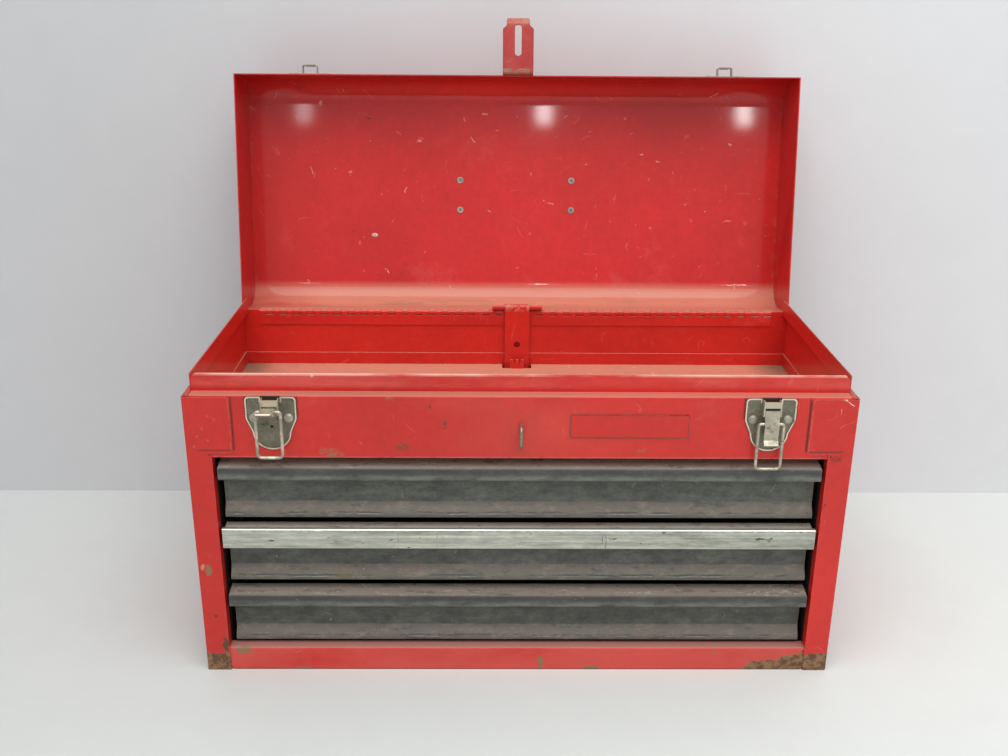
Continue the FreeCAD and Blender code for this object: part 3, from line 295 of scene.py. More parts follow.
def enamel(name, seed, gloss=0.34, scratched=0.38, colour=ENAMEL):
    """Red enamel with blotches, pale hair scratches and small dark specks."""
    f = Finish(name, colour, gloss, seed=seed)
    f.shade(f.noise(7, 5, 0.6, shift=1.0), 0.84, 1.06)
    f.shade(f.noise(150, 3, 0.6, shift=2.0), 0.95, 1.05)
    f.tint(f.patches(4.2, 0.52, 0.70, 3, 0.5, shift=3.0), ENAMEL_DEEP, None, 0.35)
    f.tint(f.patches(16, 0.56, 0.72, shift=5.0), ENAMEL_PALE, 0.5, 0.22)
    hair = f.either(f.hairlines(24, 0.0060, 0.640, (1, 1, 0.4), (0, 0.5, 0), 1.3),
                    f.hairlines(28, 0.0065, 0.645, (0.4, 1, 1), (0, 0.3, 0), 6.1),
                    f.hairlines(46, 0.0100, 0.650, shift=2.9))
    f.tint(hair, ENAMEL_PALE, 0.5, scratched)
    f.tint(f.patches(95, 0.765, 0.79, 2, 0.5, shift=7.0), GRIME_AND_SHADE, 0.8, 0.8)
    return f


def rub_edges(f, colour=WORN_EDGE, strength=0.6, radius=0.0011):
    """Rub the paint thin along the edges, here and there."""
    f.tint(f.both(f.edges(radius), f.patches(130, 0.44, 0.58, shift=8.0)), colour, 0.6, strength)


def stain(f, spot, reach, colour, strength=1.0, squeeze=EVEN):
    """A worn or dirty spot, broken up like rubbed paint."""
    patch = f.near(spot, reach, f.noise(170, 5, 0.7, shift=4.0), squeeze)
    grit = f.patches(330, 0.40, 0.56, 4, 0.75, (0.6, 1, 1), 6.4)
    f.tint(f.both(patch, grit), colour, 0.7, strength)


def settle_dust(f, colour, strength, low=0.20, high=0.55):
    """Dust on what faces up; a lower low and high cover more of it."""
    film = f.patches(26, low, high, 5, 0.65, (0.5, 1, 1), 9.0)
    f.tint(f.both(f.facing_up(), film), colour, 0.9, strength)


def lacquered(f, coat=0.14, shine=0.40):
    """Finish an enamel: the skin of sprayed paint over slightly wavy sheet."""
    f.raised(f.noise(520, 2, 0.5), 0.00003)
    f.raised(f.noise(10, 2, 0.5, shift=1.5), 0.0012)
    return f.done(Coat_Weight=coat, Coat_Roughness=0.06, Specular_IOR_Level=shine)


def plain_enamel(name, seed):
    f = enamel(name, seed, 0.38)
    settle_dust(f, DUST, 0.6)
    rub_edges(f)
    return lacquered(f)


# --- case ------------------------------------------------------------------------------------

# The tab at each upper corner of the front: its inner edge, its foot and its head.
TAB_EDGE = 0.2233
TAB_FOOT = 0.2014
TAB_HEAD = 0.2465
# The dimples of the left tab's spot welds: place across and height.
WELDS = ((-0.2410, 0.2311), (-0.2359, 0.2278), (-0.2458, 0.2203), (-0.2502, 0.2136), (-0.2421, 0.2102),
         (-0.2533, 0.2051))
# Where the paint of the left column is gone: place across, height, reach, squeeze, colour, roughness.
LEFT_COLUMN_CHIPS = (
    (-0.2520, 0.0955, 0.0045, (1, 1, 0.5), RUST_LIGHT, 0.8),
    (-0.2560, 0.0985, 0.0035, (1, 1, 0.6), DUST, 0.8),
    (-0.2430, 0.0240, 0.0090, (1.8, 1, 0.7), RUST, 0.9),
)
# Stains on the rail over the drawers: place across, height, reach, squeeze, colour, strength.
RAIL_STAINS = (
    (-0.0925, 0.2044, 0.0090, (1.0, 1, 1.3), RUST, 0.75),
    (-0.1470, 0.1990, 0.0120, (0.7, 1, 1.5), RUST_LIGHT, 0.8),
    (-0.0596, 0.2231, 0.0040, (1.2, 1, 0.7), SLATE_DARK, 0.9),
    (-0.0702, 0.2380, 0.0022, EVEN, GRIME_AND_SHADE, 1.0),
    (-0.1125, 0.2103, 0.0020, EVEN, GRIME_AND_SHADE, 1.0),
    (-0.1014, 0.2445, 0.0040, (0.7, 1, 1), RUST_LIGHT, 0.9),
    (0.0000, 0.2180, 0.0075, (1.5, 1, 0.6), GRIME_AND_SHADE, 0.5),
    (0.0950, 0.2020, 0.0045, (0.6, 1, 1.4), RUST_LIGHT, 0.6),
)
# Chips in the rail under the drawers: place across, height, reach, squeeze.
FOOT_CHIPS = (
    (0.0190, 0.0070, 0.0085, (1.9, 1, 0.8)),
    (0.0620, 0.0010, 0.0090, (0.8, 1, 1.8)),
    (-0.2285, 0.0185, 0.0110, (0.9, 1, 1.9)),
    (-0.1800, 0.0005, 0.0060, (0.5, 1, 2)),
    (0.1650, 0.0175, 0.0030, (1.6, 1, 0.8)),
)
# The rust that climbs towards the right end of that rail: how steeply, and its height in the middle.
RUST_CLIMB = 0.32
RUST_START = -0.0580


def side_enamel(hand, seed):
    """A side with its column and its tab: seams with painted shadow, rusty foot, and painted shade behind the
    column's return and over the left side.
    """
    f = enamel(hand + "_side_enamel", seed)
    out = f.out_from_middle()
    y = f.axis("Y")
    z = f.axis("Z")
    sign = {"left": -1, "right": 1}[hand]
    front = f.rise(y, COLUMN_FRONT + 0.0014, COLUMN_FRONT + 0.0008)
    ragged = f.noise(170, 5, 0.7, shift=4.0)
    rub_edges(f)
    rim = f.both(f.edges(0.0012), f.rise(z, LEDGE + 0.0010, LEDGE + 0.0030))
    f.tint(f.both(rim, f.rise(ragged, 0.36, 0.50)), GRIME_AND_SHADE, 0.8, 0.7)
    settle_dust(f, DUST_BROWN, 0.6)
    ledge = f.band(z, LEDGE - 0.0002, LEDGE + 0.0025, 0.001)
    f.tint(f.both(ledge, f.rise(ragged, 0.42, 0.55), front), RUST_LIGHT, 0.8, 0.8)
    wobble = f.wander(60, 0.0006)
    tab = f.band(z, TAB_FOOT, TAB_HEAD)
    # The dark joint round the tab, with a painted shadow along it.
    foot_seam_and_shadow = f.both(f.line(z, TAB_FOOT, 0.0007, wobble), f.band(out, TAB_EDGE, CASE_SIDE - 0.0085, 0.002))
    seam_and_shadow = f.either(f.both(f.line(out, TAB_EDGE, 0.0006, wobble), tab), foot_seam_and_shadow)
    f.tint(f.both(seam_and_shadow, front), GRIME_AND_SHADE, 0.8, 0.65)
    pale = f.both(f.line(out, TAB_EDGE + 0.0014, 0.0005, wobble), tab, front)
    f.tint(f.both(pale, f.rise(ragged, 0.40, 0.55)), ENAMEL_PALE, 0.5, 0.5)
    # Painted shade: a near black spot in the slot under the tab.
    f.tint(f.near((0.2424 * sign, COLUMN_FRONT, RAIL_FOOT + 0.0030), 0.0018, ragged), SHADE, 0.9)
    f.tint(f.near((0.2590 * sign, COLUMN_FRONT + 0.0030, LEDGE + 0.0015), 0.0040, ragged), GRIME_AND_SHADE, 0.8, 0.8)
    if hand == "left":
        for x, height in WELDS:
            dimple = f.near((x, COLUMN_FRONT, height), 0.0017)
            # A painted highlight on each weld dimple; the dent itself is the relief below.
            f.tint(dimple, ENAMEL_PALE, 0.4, 0.40)
            f.raised(dimple, -0.0004)
        # Painted shade: the whole left side a little darker.
        f.tint(0.30, ENAMEL_DEEP)
        for x, height, reach, squeeze, colour, roughness in LEFT_COLUMN_CHIPS:
            f.tint(f.near((x, COLUMN_FRONT, height), reach, ragged, squeeze), colour, roughness)
    else:
        chips = f.hairlines(95, 0.035, 0.40, (1.4, 1, 0.7), (0, 0.4, 0), 3.3)
        tab_corner = f.near((0.2510, COLUMN_FRONT, 0.2395), 0.0100, None, (1.7, 1, 0.9))
        f.tint(f.both(chips, tab_corner, front), CHIP, 0.7)
        stain(f, (0.2469, COLUMN_FRONT, 0.1950), 0.0085, GRIME_AND_SHADE, 0.6, (0.8, 1, 1.4))
    waved = f.maths("ADD", z, f.wander(75, 0.010, 2.2))
    rusty = f.both(f.rise(waved, 0.0170, 0.0150), f.rise(y, -0.050, -0.085))
    f.tint(f.both(rusty, f.rise(out, 0.2300, 0.2400)), RUST_LIGHT, 0.9)
    f.tint(f.both(rusty, f.rise(ragged, 0.44, 0.58)), RUST, 0.9)
    # Painted shade: the column's return deeper red just behind its front edge, under the rail.
    fold = f.both(f.line(y, COLUMN_FRONT + 0.0030, 0.0012), f.rise(out, 0.2440, 0.2400))
    f.tint(f.both(fold, f.rise(z, RAIL_FOOT + 0.0015, RAIL_FOOT - 0.0005)), ENAMEL_DEEP, 0.5, 0.8)
    # Painted shade: near black on the column's return further back, where the gap to the drawers is dark.
    behind = f.both(f.rise(y, COLUMN_FRONT + 0.0070, COLUMN_FRONT + 0.0105), f.rise(out, 0.2440, 0.2420))
    f.tint(f.both(behind, f.rise(z, RAIL_FOOT + 0.0025, RAIL_FOOT - 0.0005)), SHADE, 0.9)
    return lacquered(f)


def rail_enamel():
    """The rail over the drawers: dusty ledge, a rim worn pale, and stains where hands and tools went."""
    f = enamel("rail_enamel", 3.1)
    out = f.out_from_middle()
    z = f.axis("Z")
    ragged = f.noise(170, 5, 0.7, shift=4.0)
    streak = f.noise(22, 5, 0.7, (0.2, 1, 1), shift=6.0)
    settle_dust(f, LEDGE_DUST, 0.75, 0.10, 0.40)
    f.tint(f.both(f.facing_up(), f.rise(streak, 0.46, 0.64)), DUST_BROWN, 0.9, 0.55)
    foot = f.band(z, RAIL_FOOT - 0.0005, RAIL_FOOT + 0.0017, 0.0005)
    f.tint(f.both(foot, f.rise(ragged, 0.34, 0.50)), ENAMEL_PALE, 0.5, 0.75)
    crest = f.rise(z, RIM_TOP - 0.0023, RIM_TOP - 0.0011)
    f.tint(f.both(crest, f.rise(streak, 0.36, 0.52)), WORN_EDGE, 0.6, 0.85)
    nicks = f.both(f.rise(ragged, 0.60, 0.66), f.rise(streak, 0.48, 0.56))
    f.tint(f.both(f.rise(z, RIM_TOP - 0.0037, RIM_TOP - 0.0011), nicks), CHIP, 0.7)
    rim = f.band(z, RIM_TOP - 0.0105, RIM_TOP - 0.0015, 0.002)
    f.tint(f.both(rim, f.rise(streak, 0.38, 0.64)), ENAMEL_PALE, 0.6, 0.60)
    rim_head = f.band(z, RIM_TOP - 0.0050, RIM_TOP - 0.0015, 0.001)
    f.tint(f.both(rim_head, f.patches(30, 0.60, 0.68, stretch=(0.3, 1, 1), shift=2.0)), DUST_BROWN, 0.8, 0.7)
    rub_edges(f, ENAMEL_PALE, 0.8)
    f.tint(f.line(out, CASE_SIDE - 0.0030, 0.0006), GRIME_AND_SHADE, 0.8, 0.8)
    for x, height, reach, squeeze, colour, strength in RAIL_STAINS:
        stain(f, (x, RAIL_FRONT, height), reach, colour, strength, squeeze)
    front = f.rise(f.axis("Y"), RAIL_FRONT + 0.0010, RAIL_FRONT + 0.0002)
    # The dark joint where the side's tab meets the rail, with a painted shadow along it.
    seam_and_shadow = f.both(f.line(out, TAB_EDGE - 0.0008, 0.0007, f.wander(60, 0.0005)), f.band(z, TAB_FOOT, TAB_HEAD))
    f.tint(f.both(seam_and_shadow, front), GRIME_AND_SHADE, 0.8, 0.6)
    from_latch = f.away(out, LATCH_MIDDLE)
    # Dark dirt with a painted contact shadow along the sides of the latch plate.
    dirt_and_shadow_beside_latch = f.both(f.line(from_latch, LATCH_HALF + 0.0005, 0.0009), f.band(z, 0.2290, LATCH_HIGH.z), front)
    f.tint(f.both(dirt_and_shadow_beside_latch, f.rise(ragged, 0.36, 0.52)), GRIME_AND_SHADE, 0.8, 0.6)
    # Painted shade: dark where the rail shows through the latch's holes and its notch.
    shade_behind_latch = f.both(f.rise(from_latch, 0.0085, 0.0075), f.band(z, 0.2120, LATCH_HIGH.z + 0.0010), front)
    f.tint(shade_behind_latch, LATCH_SHADE, 0.9)
    ends = f.both(f.rise(out, CASE_SIDE - 0.0040, CASE_SIDE - 0.0020), f.facing_up())
    f.tint(f.both(ends, f.rise(ragged, 0.36, 0.50)), GRIME_AND_SHADE, 0.9, 0.8)
    f.tint(f.both(front, f.patches(6, 0.50, 0.66, 3, 0.5, (0.5, 1, 1), 8.8)), DUST, 0.5, 0.10)
    return lacquered(f)


def foot_enamel():
    """The rail under the drawers: dusty brown on top, chipped along the floor and rusty at its ends."""
    f = enamel("foot_enamel", 4.2)
    x = f.axis("X")
    z = f.axis("Z")
    ragged = f.noise(150, 5, 0.7, shift=4.0)
    f.tint(f.patches(20, 0.20, 0.60, 4, 0.6, (0.4, 1, 1), 5.5), ENAMEL_PALE, 0.6, 0.45)
    settle_dust(f, FOOT_DUST, 0.92, 0.05, 0.30)
    rub_edges(f, ENAMEL_PALE, 0.7)
    for place, height, reach, squeeze in FOOT_CHIPS:
        f.tint(f.near((place, RAIL_FRONT, height), reach, ragged, squeeze), RUST_LIGHT, 0.85)
    slant = f.maths("MULTIPLY_ADD", x, RUST_CLIMB, RUST_START)
    under = f.maths("SUBTRACT", slant, f.maths("ADD", z, f.wander(70, 0.010, 3.1)))
    corner = f.both(f.rise(under, -0.0010, 0.0010), f.rise(x, 0.185, 0.195))
    f.tint(corner, RUST_LIGHT, 0.9)
    f.tint(f.both(corner, f.rise(ragged, 0.46, 0.60)), RUST, 0.9)
    f.tint(f.rise(z, 0.0012, 0.0004), GRIME_AND_SHADE, 0.8, 0.8)
    return lacquered(f)


def till_enamel():
    """The till: a thick film of pinkish dust on its floor, browner in the corners."""
    f = enamel("till_enamel", 5.5)
    out = f.out_from_middle()
    settle_dust(f, DUST, 0.95, 0.02, 0.30)
    floor = f.both(f.facing_up(), f.rise(f.axis("Z"), TILL_FLOOR + 0.0055, TILL_FLOOR + 0.0025))
    f.tint(f.both(floor, f.patches(14, 0.54, 0.68, shift=3.3)), DUST_BROWN, 0.9, 0.5)
    f.tint(f.both(floor, f.patches(11, 0.60, 0.70, 4, 0.6, shift=7.3)), ENAMEL, 0.6, 0.35)
    f.tint(f.both(floor, f.hairlines(26, 0.007, 0.56, shift=2.2)), WORN_EDGE, 0.8, 0.7)
    back_corners = f.both(floor, f.rise(out, 0.2150, 0.2560), f.rise(f.axis("Y"), 0.050, 0.106))
    f.tint(back_corners, CORNER_DIRT, 0.9, 0.8)
    rub_edges(f, WORN_EDGE, 0.75)
    f.tint(f.both(f.edges(0.0011), f.rise(out, 0.2480, 0.2500)), GRIME_AND_SHADE, 0.8, 0.75)
    return lacquered(f, 0.08)


def shaded_inner_steel():
    """Runners and posts inside the case, painted near black as shade."""
    f = Finish("shaded_inner_steel", INNER_SHADE, 0.6, 0.2, 7.4)
    f.shade(f.noise(40, 5, 0.7), 0.6, 1.5)
    f.tint(f.edges(0.0008), INNER_SHADE_EDGE, 0.4, 0.5)
    return f.done()


def badge_enamel():
    """The plain badge plate: red enamel in a dark, rubbed border."""
    f = enamel("badge_enamel", 8.0, 0.30)
    middle = (BADGE_LOW + BADGE_HIGH) / 2
    half = (BADGE_HIGH - BADGE_LOW) / 2
    border = f.either(f.rise(f.away(f.axis("X"), middle.x), half.x - 0.0010, half.x - 0.0006),
                      f.rise(f.away(f.axis("Z"), middle.z), half.z - 0.0010, half.z - 0.0006))
    f.tint(border, GRIME_AND_SHADE, 0.6, 0.75)
    f.tint(f.both(f.edges(0.0008), f.patches(120, 0.42, 0.56, 4)), WORN_EDGE, 0.5, 0.7)
    return lacquered(f)


# --- lid -------------------------------------------------------------------------------------

LID_CHIP = Vector((-0.1391, 0.1767, 0.3062))
LID_THUMB_STAIN = (-0.2100, 0.2000, 0.4520)
BAR_HOLE = (0.0010, 0.1080, 0.2220)
HASP_RUST = (-0.0090, 0.1500, 0.4740)


def lid_enamel():
    """The lid's shell: short pale scratches, one deep chip, and dust where it stands on the hinge."""
    f = enamel("lid_enamel", 9.2, 0.30, 0.42, LID_ENAMEL)
    z = f.axis("Z")
    out = f.out_from_middle()
    ragged = f.noise(160, 5, 0.7, shift=4.0)
    scratches = f.hairlines(42, 0.016, 0.640, turn=(0, 0.8, 0), shift=3.7)
    f.tint(f.both(scratches, f.rise(ragged, 0.40, 0.55)), WORN_EDGE, 0.5, 0.7)
    f.tint(f.near(LID_CHIP + Vector((0, 0, 0.0007)), 0.0028, None, (0.8, 1, 1.2)), CHIP, 0.6)
    f.tint(f.near(LID_CHIP - Vector((0, 0, 0.0007)), 0.0042, ragged), ENAMEL_DEEP, 0.6, 0.6)
    stain(f, LID_THUMB_STAIN, 0.0200, GRIME_AND_SHADE, 0.35, (0.5, 1, 1.6))
    skirt = f.rise(z, LID_HIGH.z - 0.0020, LID_HIGH.z - 0.0008)
    f.tint(f.both(skirt, f.patches(30, 0.36, 0.66, 6, 0.8, shift=4.0)), GRIME_AND_SHADE, 0.7, 0.30)
    inside = f.rise(f.vector("DOT_PRODUCT", f.normal, (0, -1, 1)), -0.2, 0.2)
    low_wall = f.both(inside, f.rise(z, LID_LOW.z + 0.0218, LID_LOW.z + 0.0098))
    f.tint(f.both(low_wall, f.patches(30, 0.10, 0.45, 5, 0.65, (0.3, 1, 1), 5.1)), DUST, 0.8, 0.85)
    by_hinge = f.both(inside, f.rise(z, LID_LOW.z + 0.0058, LID_LOW.z + 0.0018))
    f.tint(f.both(by_hinge, f.patches(60, 0.46, 0.64, stretch=(0.25, 1, 1), shift=2.5)), DUST_BROWN, 0.9, 0.5)
    # Painted shade: the inside of the upturned skirt made deeper red.
    shaded_under_skirt = f.both(f.rise(z, LID_HIGH.z - 0.0132, LID_HIGH.z - 0.0072),
                         f.rise(f.axis("Y"), LID_HIGH.y - 0.0008, LID_HIGH.y - 0.0038))
    f.tint(shaded_under_skirt, ENAMEL_DEEP, 0.45, 0.55)
    ends = f.rise(out, LID_HIGH.x - 0.0070, LID_HIGH.x - 0.0002)
    f.tint(f.both(ends, f.rise(ragged, 0.50, 0.64)), DUST_BROWN, 0.7, 0.35)
    fold = f.line(z, LID_HIGH.z - 0.0032, 0.0012, f.wander(30, 0.0006))
    f.tint(f.both(fold, f.rise(ragged, 0.40, 0.55)), GRIME_AND_SHADE, 0.7, 0.5)
    # Painted shadow of the left end on the left part of the panel.
    f.tint(f.rise(f.axis("X"), -0.185, -0.245), ENAMEL_DEEP, None, 0.35)
    rub_edges(f, DUST_BROWN, 0.8)
    return lacquered(f, 0.45, 0.28)


def lid_end_enamel():
    """The lid's ends, the left one darker than the right with painted shade."""
    f = enamel("lid_end_enamel", 10.4, colour=LID_ENAMEL)
    f.tint(f.patches(24, 0.52, 0.70, 4, 0.6, (1, 1, 0.3), 2.4), ENAMEL_DEEP, 0.5, 0.6)
    # Painted shade: the left end darker than the right.
    f.tint(f.rise(f.axis("X"), 0.1, -0.1), ENAMEL_DEEP, None, 0.40)
    rub_edges(f, DUST_BROWN, 0.8)
    return lacquered(f)


def hinge_enamel():
    """The hinge and the lock bar's bracket: painted over, dusty, and rusting on the knuckles."""
    f = enamel("hinge_enamel", 11.0, 0.40)
    settle_dust(f, DUST, 0.80, 0.10, 0.40)
    knuckles = f.rise(f.axis("Z"), HINGE_TOP - 0.0020, HINGE_TOP - 0.0005)
    f.tint(f.both(knuckles, f.patches(260, 0.60, 0.66, 4, shift=4.0)), RUST_LIGHT, 0.8, 0.8)
    rub_edges(f, GRIME_AND_SHADE, 0.8, 0.0007)
    return lacquered(f, 0.08)


def lock_bar_enamel():
    """The bar that locks the drawers, rubbed bright where its strap goes through the till."""
    f = enamel("lock_bar_enamel", 13.1, 0.36)
    z = f.axis("Z")
    ragged = f.noise(300, 4, 0.7, shift=4.0)
    strap = f.both(f.band(z, 0.1900, 0.2120, 0.001), f.rise(f.axis("Y"), 0.1040, 0.1010))
    f.tint(f.both(strap, f.rise(ragged, 0.35, 0.55)), ENAMEL_RUBBED, 0.5, 0.85)
    f.tint(f.both(f.rise(z, 0.2500, 0.2520), f.rise(ragged, 0.46, 0.60)), DUST, 0.6, 0.8)
    f.tint(f.near(BAR_HOLE, 0.0040), GRIME_AND_SHADE, 0.8, 0.5)
    rub_edges(f, GRIME_AND_SHADE, 0.6, 0.0008)
    return lacquered(f, 0.08)


def hasp_enamel():
    """The hasp: thin red paint over brown steel, gone at its tip, its slot and its knuckles."""
    f = enamel("hasp_enamel", 12.7, 0.45, 0.2, HASP_ENAMEL)
    z = f.axis("Z")
    ragged = f.noise(240, 5, 0.7, shift=4.0)
    tip = f.rise(z, HASP_HIGH.z - 0.0097, HASP_HIGH.z - 0.0017)
    f.tint(f.both(tip, f.rise(ragged, 0.34, 0.60)), HASP_BARE, 0.6, 0.9)
    f.tint(f.near(HASP_RUST, 0.0080, ragged, (1, 1, 0.7)), RUST_LIGHT, 0.7)
    knuckles = f.rise(z, HASP_LOW.z + 0.0069, HASP_LOW.z + 0.0054)
    f.tint(f.both(knuckles, f.rise(ragged, 0.42, 0.58)), RUST_LIGHT, 0.7, 0.8)
    f.tint(f.edges(0.0009), GRIME_AND_SHADE, 0.7, 0.7)
    f.tint(f.both(f.edges(0.0005), f.rise(ragged, 0.50, 0.62)), WORN_EDGE, 0.5, 0.5)
    return lacquered(f, 0.05)


# --- drawers ---------------------------------------------------------------------------------

# Heights on a drawer's front, up from the drawer's underside.
LIP_LINE = 0.0046
LIP_FOLD = 0.0058
BULGE_HEAD = 0.0140
PULL_FOOT = 0.0368
PULL_CREASE = 0.0420
PULL_HEAD = 0.0474
# Scores across the trim.
SCORES = (-0.0975, -0.0660, 0.0665, 0.0695)


def drawer_paint(name, seed, underside, strip_brown):
    """Dark olive enamel: brown dust on the top strip and the bulge, and a painted highlight low on the pull.
    """
    f = Finish(name, SLATE, 0.46, seed=seed)
    up = f.maths("SUBTRACT", f.axis("Z"), underside)
    smear = f.noise(15, 5, 0.65, (0.35, 1, 1.3), shift=1.0)
    grain = f.noise(110, 5, 0.7, (0.30, 1, 1), shift=2.0)
    ragged = f.noise(230, 4, 0.7, shift=3.0)
    low_wave = f.wander(40, 0.0012, 5.0)
    waved = f.maths("ADD", up, low_wave)
    f.shade(smear, 0.78, 1.24)
    f.shade(grain, 0.80, 1.20)
    f.shade(f.noise(190, 5, 0.8, (0.6, 1, 1), shift=8.0), 0.70, 1.32)
    f.shade(f.noise(60, 5, 0.75, (0.7, 1, 1), shift=9.0), 0.80, 1.22)
    f.tint(f.patches(30, 0.56, 0.72, stretch=(0.6, 1, 1), shift=4.0), SLATE_PALE, 0.5, 0.35)
    pull = f.band(up, PULL_FOOT, PULL_HEAD)
    pull_top = f.both(pull, f.rise(waved, PULL_CREASE - 0.0005, PULL_CREASE + 0.0020))
    f.tint(f.both(pull_top, f.rise(smear, 0.34, 0.55)), SLATE_DARK, 0.4, 0.9)
    # Painted highlight: the lower part of the pull paler, broken up by the grain.
    pull_low_highlight = f.both(pull, f.rise(waved, PULL_CREASE + 0.0005, PULL_CREASE - 0.0025))
    f.tint(f.both(pull_low_highlight, f.rise(grain, 0.36, 0.60)), SLATE_PALE, 0.42, 0.65)
    bulge = f.rise(waved, BULGE_HEAD + 0.0006, BULGE_HEAD - 0.0008)
    f.tint(f.both(bulge, f.rise(smear, 0.20, 0.48)), SLATE_BROWN, 0.62, 0.72)
    brown = f.patches(130, 0.50, 0.64, 5, 0.8, (0.5, 1, 1), 6.3)
    f.tint(f.both(bulge, brown), STRIP_BROWN["bottom"], 0.7, 0.55)
    f.tint(f.both(bulge, f.patches(48, 0.60, 0.70, 4, 0.7, (0.4, 1, 1), 2.7)), BULGE_RUST, 0.7, 0.5)
    f.tint(f.both(bulge, f.patches(85, 0.54, 0.66, 5, 0.8, (0.4, 1, 1), 7.9)), SLATE_DARK, 0.6, 0.5)
    f.tint(f.both(f.line(up, LIP_FOLD, 0.0007, low_wave), f.rise(grain, 0.44, 0.58)), SLATE_DARK, 0.5, 0.75)
    lip = f.rise(waved, LIP_FOLD - 0.0006, LIP_FOLD - 0.0018)
    f.tint(f.both(lip, f.rise(grain, 0.40, 0.60)), SLATE_DARK, 0.5, 0.45)
    # Painted highlight: a thin pale line along the lip.
    f.tint(f.both(f.line(up, LIP_LINE, 0.0004, low_wave), f.rise(grain, 0.48, 0.60)), LINT_AND_HIGHLIGHT, 0.5, 0.45)
    strip = f.both(f.rise(up, PULL_HEAD - 0.0002, PULL_HEAD + 0.0004), f.rise(f.axis("Y"), -0.070, -0.085))
    f.tint(strip, strip_brown, 0.75, 0.88)
    f.tint(f.both(strip, f.rise(smear, 0.54, 0.70)), STRIP_RUST, 0.8, 0.35)
    f.tint(f.both(strip, f.rise(grain, 0.56, 0.68)), SLATE_DARK, 0.7, 0.6)
    scrapes = f.hairlines(160, 0.030, 0.46, (0.12, 1, 1), shift=6.6)
    f.tint(f.both(strip, scrapes, f.rise(ragged, 0.40, 0.55)), LINT_AND_HIGHLIGHT, 0.6, 0.6)
    f.tint(f.both(strip, f.patches(140, 0.52, 0.66, 5, 0.8, (0.4, 1, 1), 3.6)), SLATE_DARK, 0.7, 0.5)
    f.tint(f.both(f.edges(0.0010), f.rise(grain, 0.38, 0.54)), LINT_AND_HIGHLIGHT, 0.5, 0.60)
    hair = f.either(f.hairlines(22, 0.0045, 0.62, (1, 1, 0.5), (0, 0.7, 0), 1.3),
                    f.hairlines(36, 0.008, 0.64, shift=3.9))
    f.tint(f.both(hair, f.rise(waved, BULGE_HEAD + 0.0010, BULGE_HEAD + 0.0030)), LINT_AND_HIGHLIGHT, 0.5, 0.25)
    f.tint(f.rise(ragged, 0.700, 0.725), LINT_AND_HIGHLIGHT, 0.8, 0.8)
    f.tint(f.patches(120, 0.745, 0.77, 2, 0.5, shift=7.0), SLATE_DARK, 0.8, 0.9)
    f.raised(f.noise(450, 3, 0.6), 0.00004)
    f.raised(f.noise(12, 2, 0.5, (0.4, 1, 1), shift=1.1), 0.0007)
    return f.done(Coat_Weight=0.05, Coat_Roughness=0.25, Specular_IOR_Level=0.40)


def trim_metal():
    """The middle pull's trim: brushed along its length, nicked, with bright upper and lower edges."""
    f = Finish("trim_metal", ALUMINIUM, 0.45, 0.85, 0.4)
    x = f.axis("X")
    z = f.axis("Z")
    grain = f.noise(70, 5, 0.75, (0.10, 1, 6), shift=1.0)
    ragged = f.noise(200, 4, 0.7, shift=3.0)
    f.shade(grain, 0.70, 1.22)
    f.shade(f.noise(150, 5, 0.8, (0.35, 1, 1.6), shift=7.0), 0.74, 1.20)
    f.shade(f.noise(8, 4, 0.6, shift=2.0), 0.88, 1.10)
    f.tint(f.patches(45, 0.52, 0.66, 5, 0.75, (0.35, 1, 1.6), 5.0), ALUMINIUM_DARK, 0.6, 0.55)
    f.tint(f.patches(90, 0.665, 0.70, 3, 0.6, (0.7, 1, 2.0), 6.0), PLATE_DARK, 0.7, 0.75)
    scored = f.either(*[f.line(x, place, 0.0004, f.wander(90, 0.0012, place)) for place in SCORES])
    f.tint(f.both(scored, f.rise(ragged, 0.46, 0.60)), PLATE_DARK, 0.7, 0.7)
    upper_edge = f.band(z, TRIM_HIGH.z - 0.0009, TRIM_HIGH.z + 0.0003)
    lower_edge = f.band(z, TRIM_LOW.z - 0.0002, TRIM_LOW.z + 0.0009)
    f.tint(f.either(upper_edge, lower_edge), ALUMINIUM_BRIGHT, 0.35, 0.85)
    under_edge = f.line(z, TRIM_HIGH.z - 0.0014, 0.0004, f.wander(40, 0.0003))
    f.tint(f.both(under_edge, f.rise(ragged, 0.42, 0.60)), ALUMINIUM_DARK, 0.6, 0.8)
    f.raised(grain, 0.00008)
    return f.done()


# --- fittings --------------------------------------------------------------------------------


def tarnished(name, seed, colour, dark=0.5, stained=0.0):
    """Plated steel gone dull, speckled dark and, where stained, brown."""
    f = Finish(name, colour, 0.42, 0.75, seed)
    fine = f.noise(330, 4, 0.7, shift=2.0)
    f.shade(f.noise(75, 5, 0.65, shift=1.0), 0.74, 1.20)
    f.shade(fine, 0.84, 1.12)
    f.tint(f.patches(180, 0.56, 0.68, 5, 0.75, shift=3.0), PLATE_DARK, 0.7, dark)
    if stained:
        f.tint(f.patches(60, 0.54, 0.68, 4, shift=4.0), STAIN, 0.7, stained)
    f.raised(fine, 0.00010)
    return f


def brighten_edges(f, radius, strength):
    f.tint(f.edges(radius, 0.03, 0.3), PLATE_BRIGHT, 0.3, strength)


def latch_plate_metal():
    """A latch's plate: dull in its field, with a painted highlight along the rim that stands proud of the
    case.
    """
    f = tarnished("latch_plate_metal", 0.0, PLATE, 0.75, 0.45)
    y = f.axis("Y")
    # Painted highlight along the rim.
    rim = f.rise(y, COLUMN_FRONT - 0.00035, COLUMN_FRONT - 0.00065)
    f.tint(f.both(rim, f.patches(150, 0.30, 0.44, 4, shift=6.0)), PLATE_BRIGHT, 0.35)
    cheeks = f.rise(y, COLUMN_FRONT - 0.0015, COLUMN_FRONT - 0.0022)
    f.tint(cheeks, LEVER, 0.4, 0.8)
    return f.done()


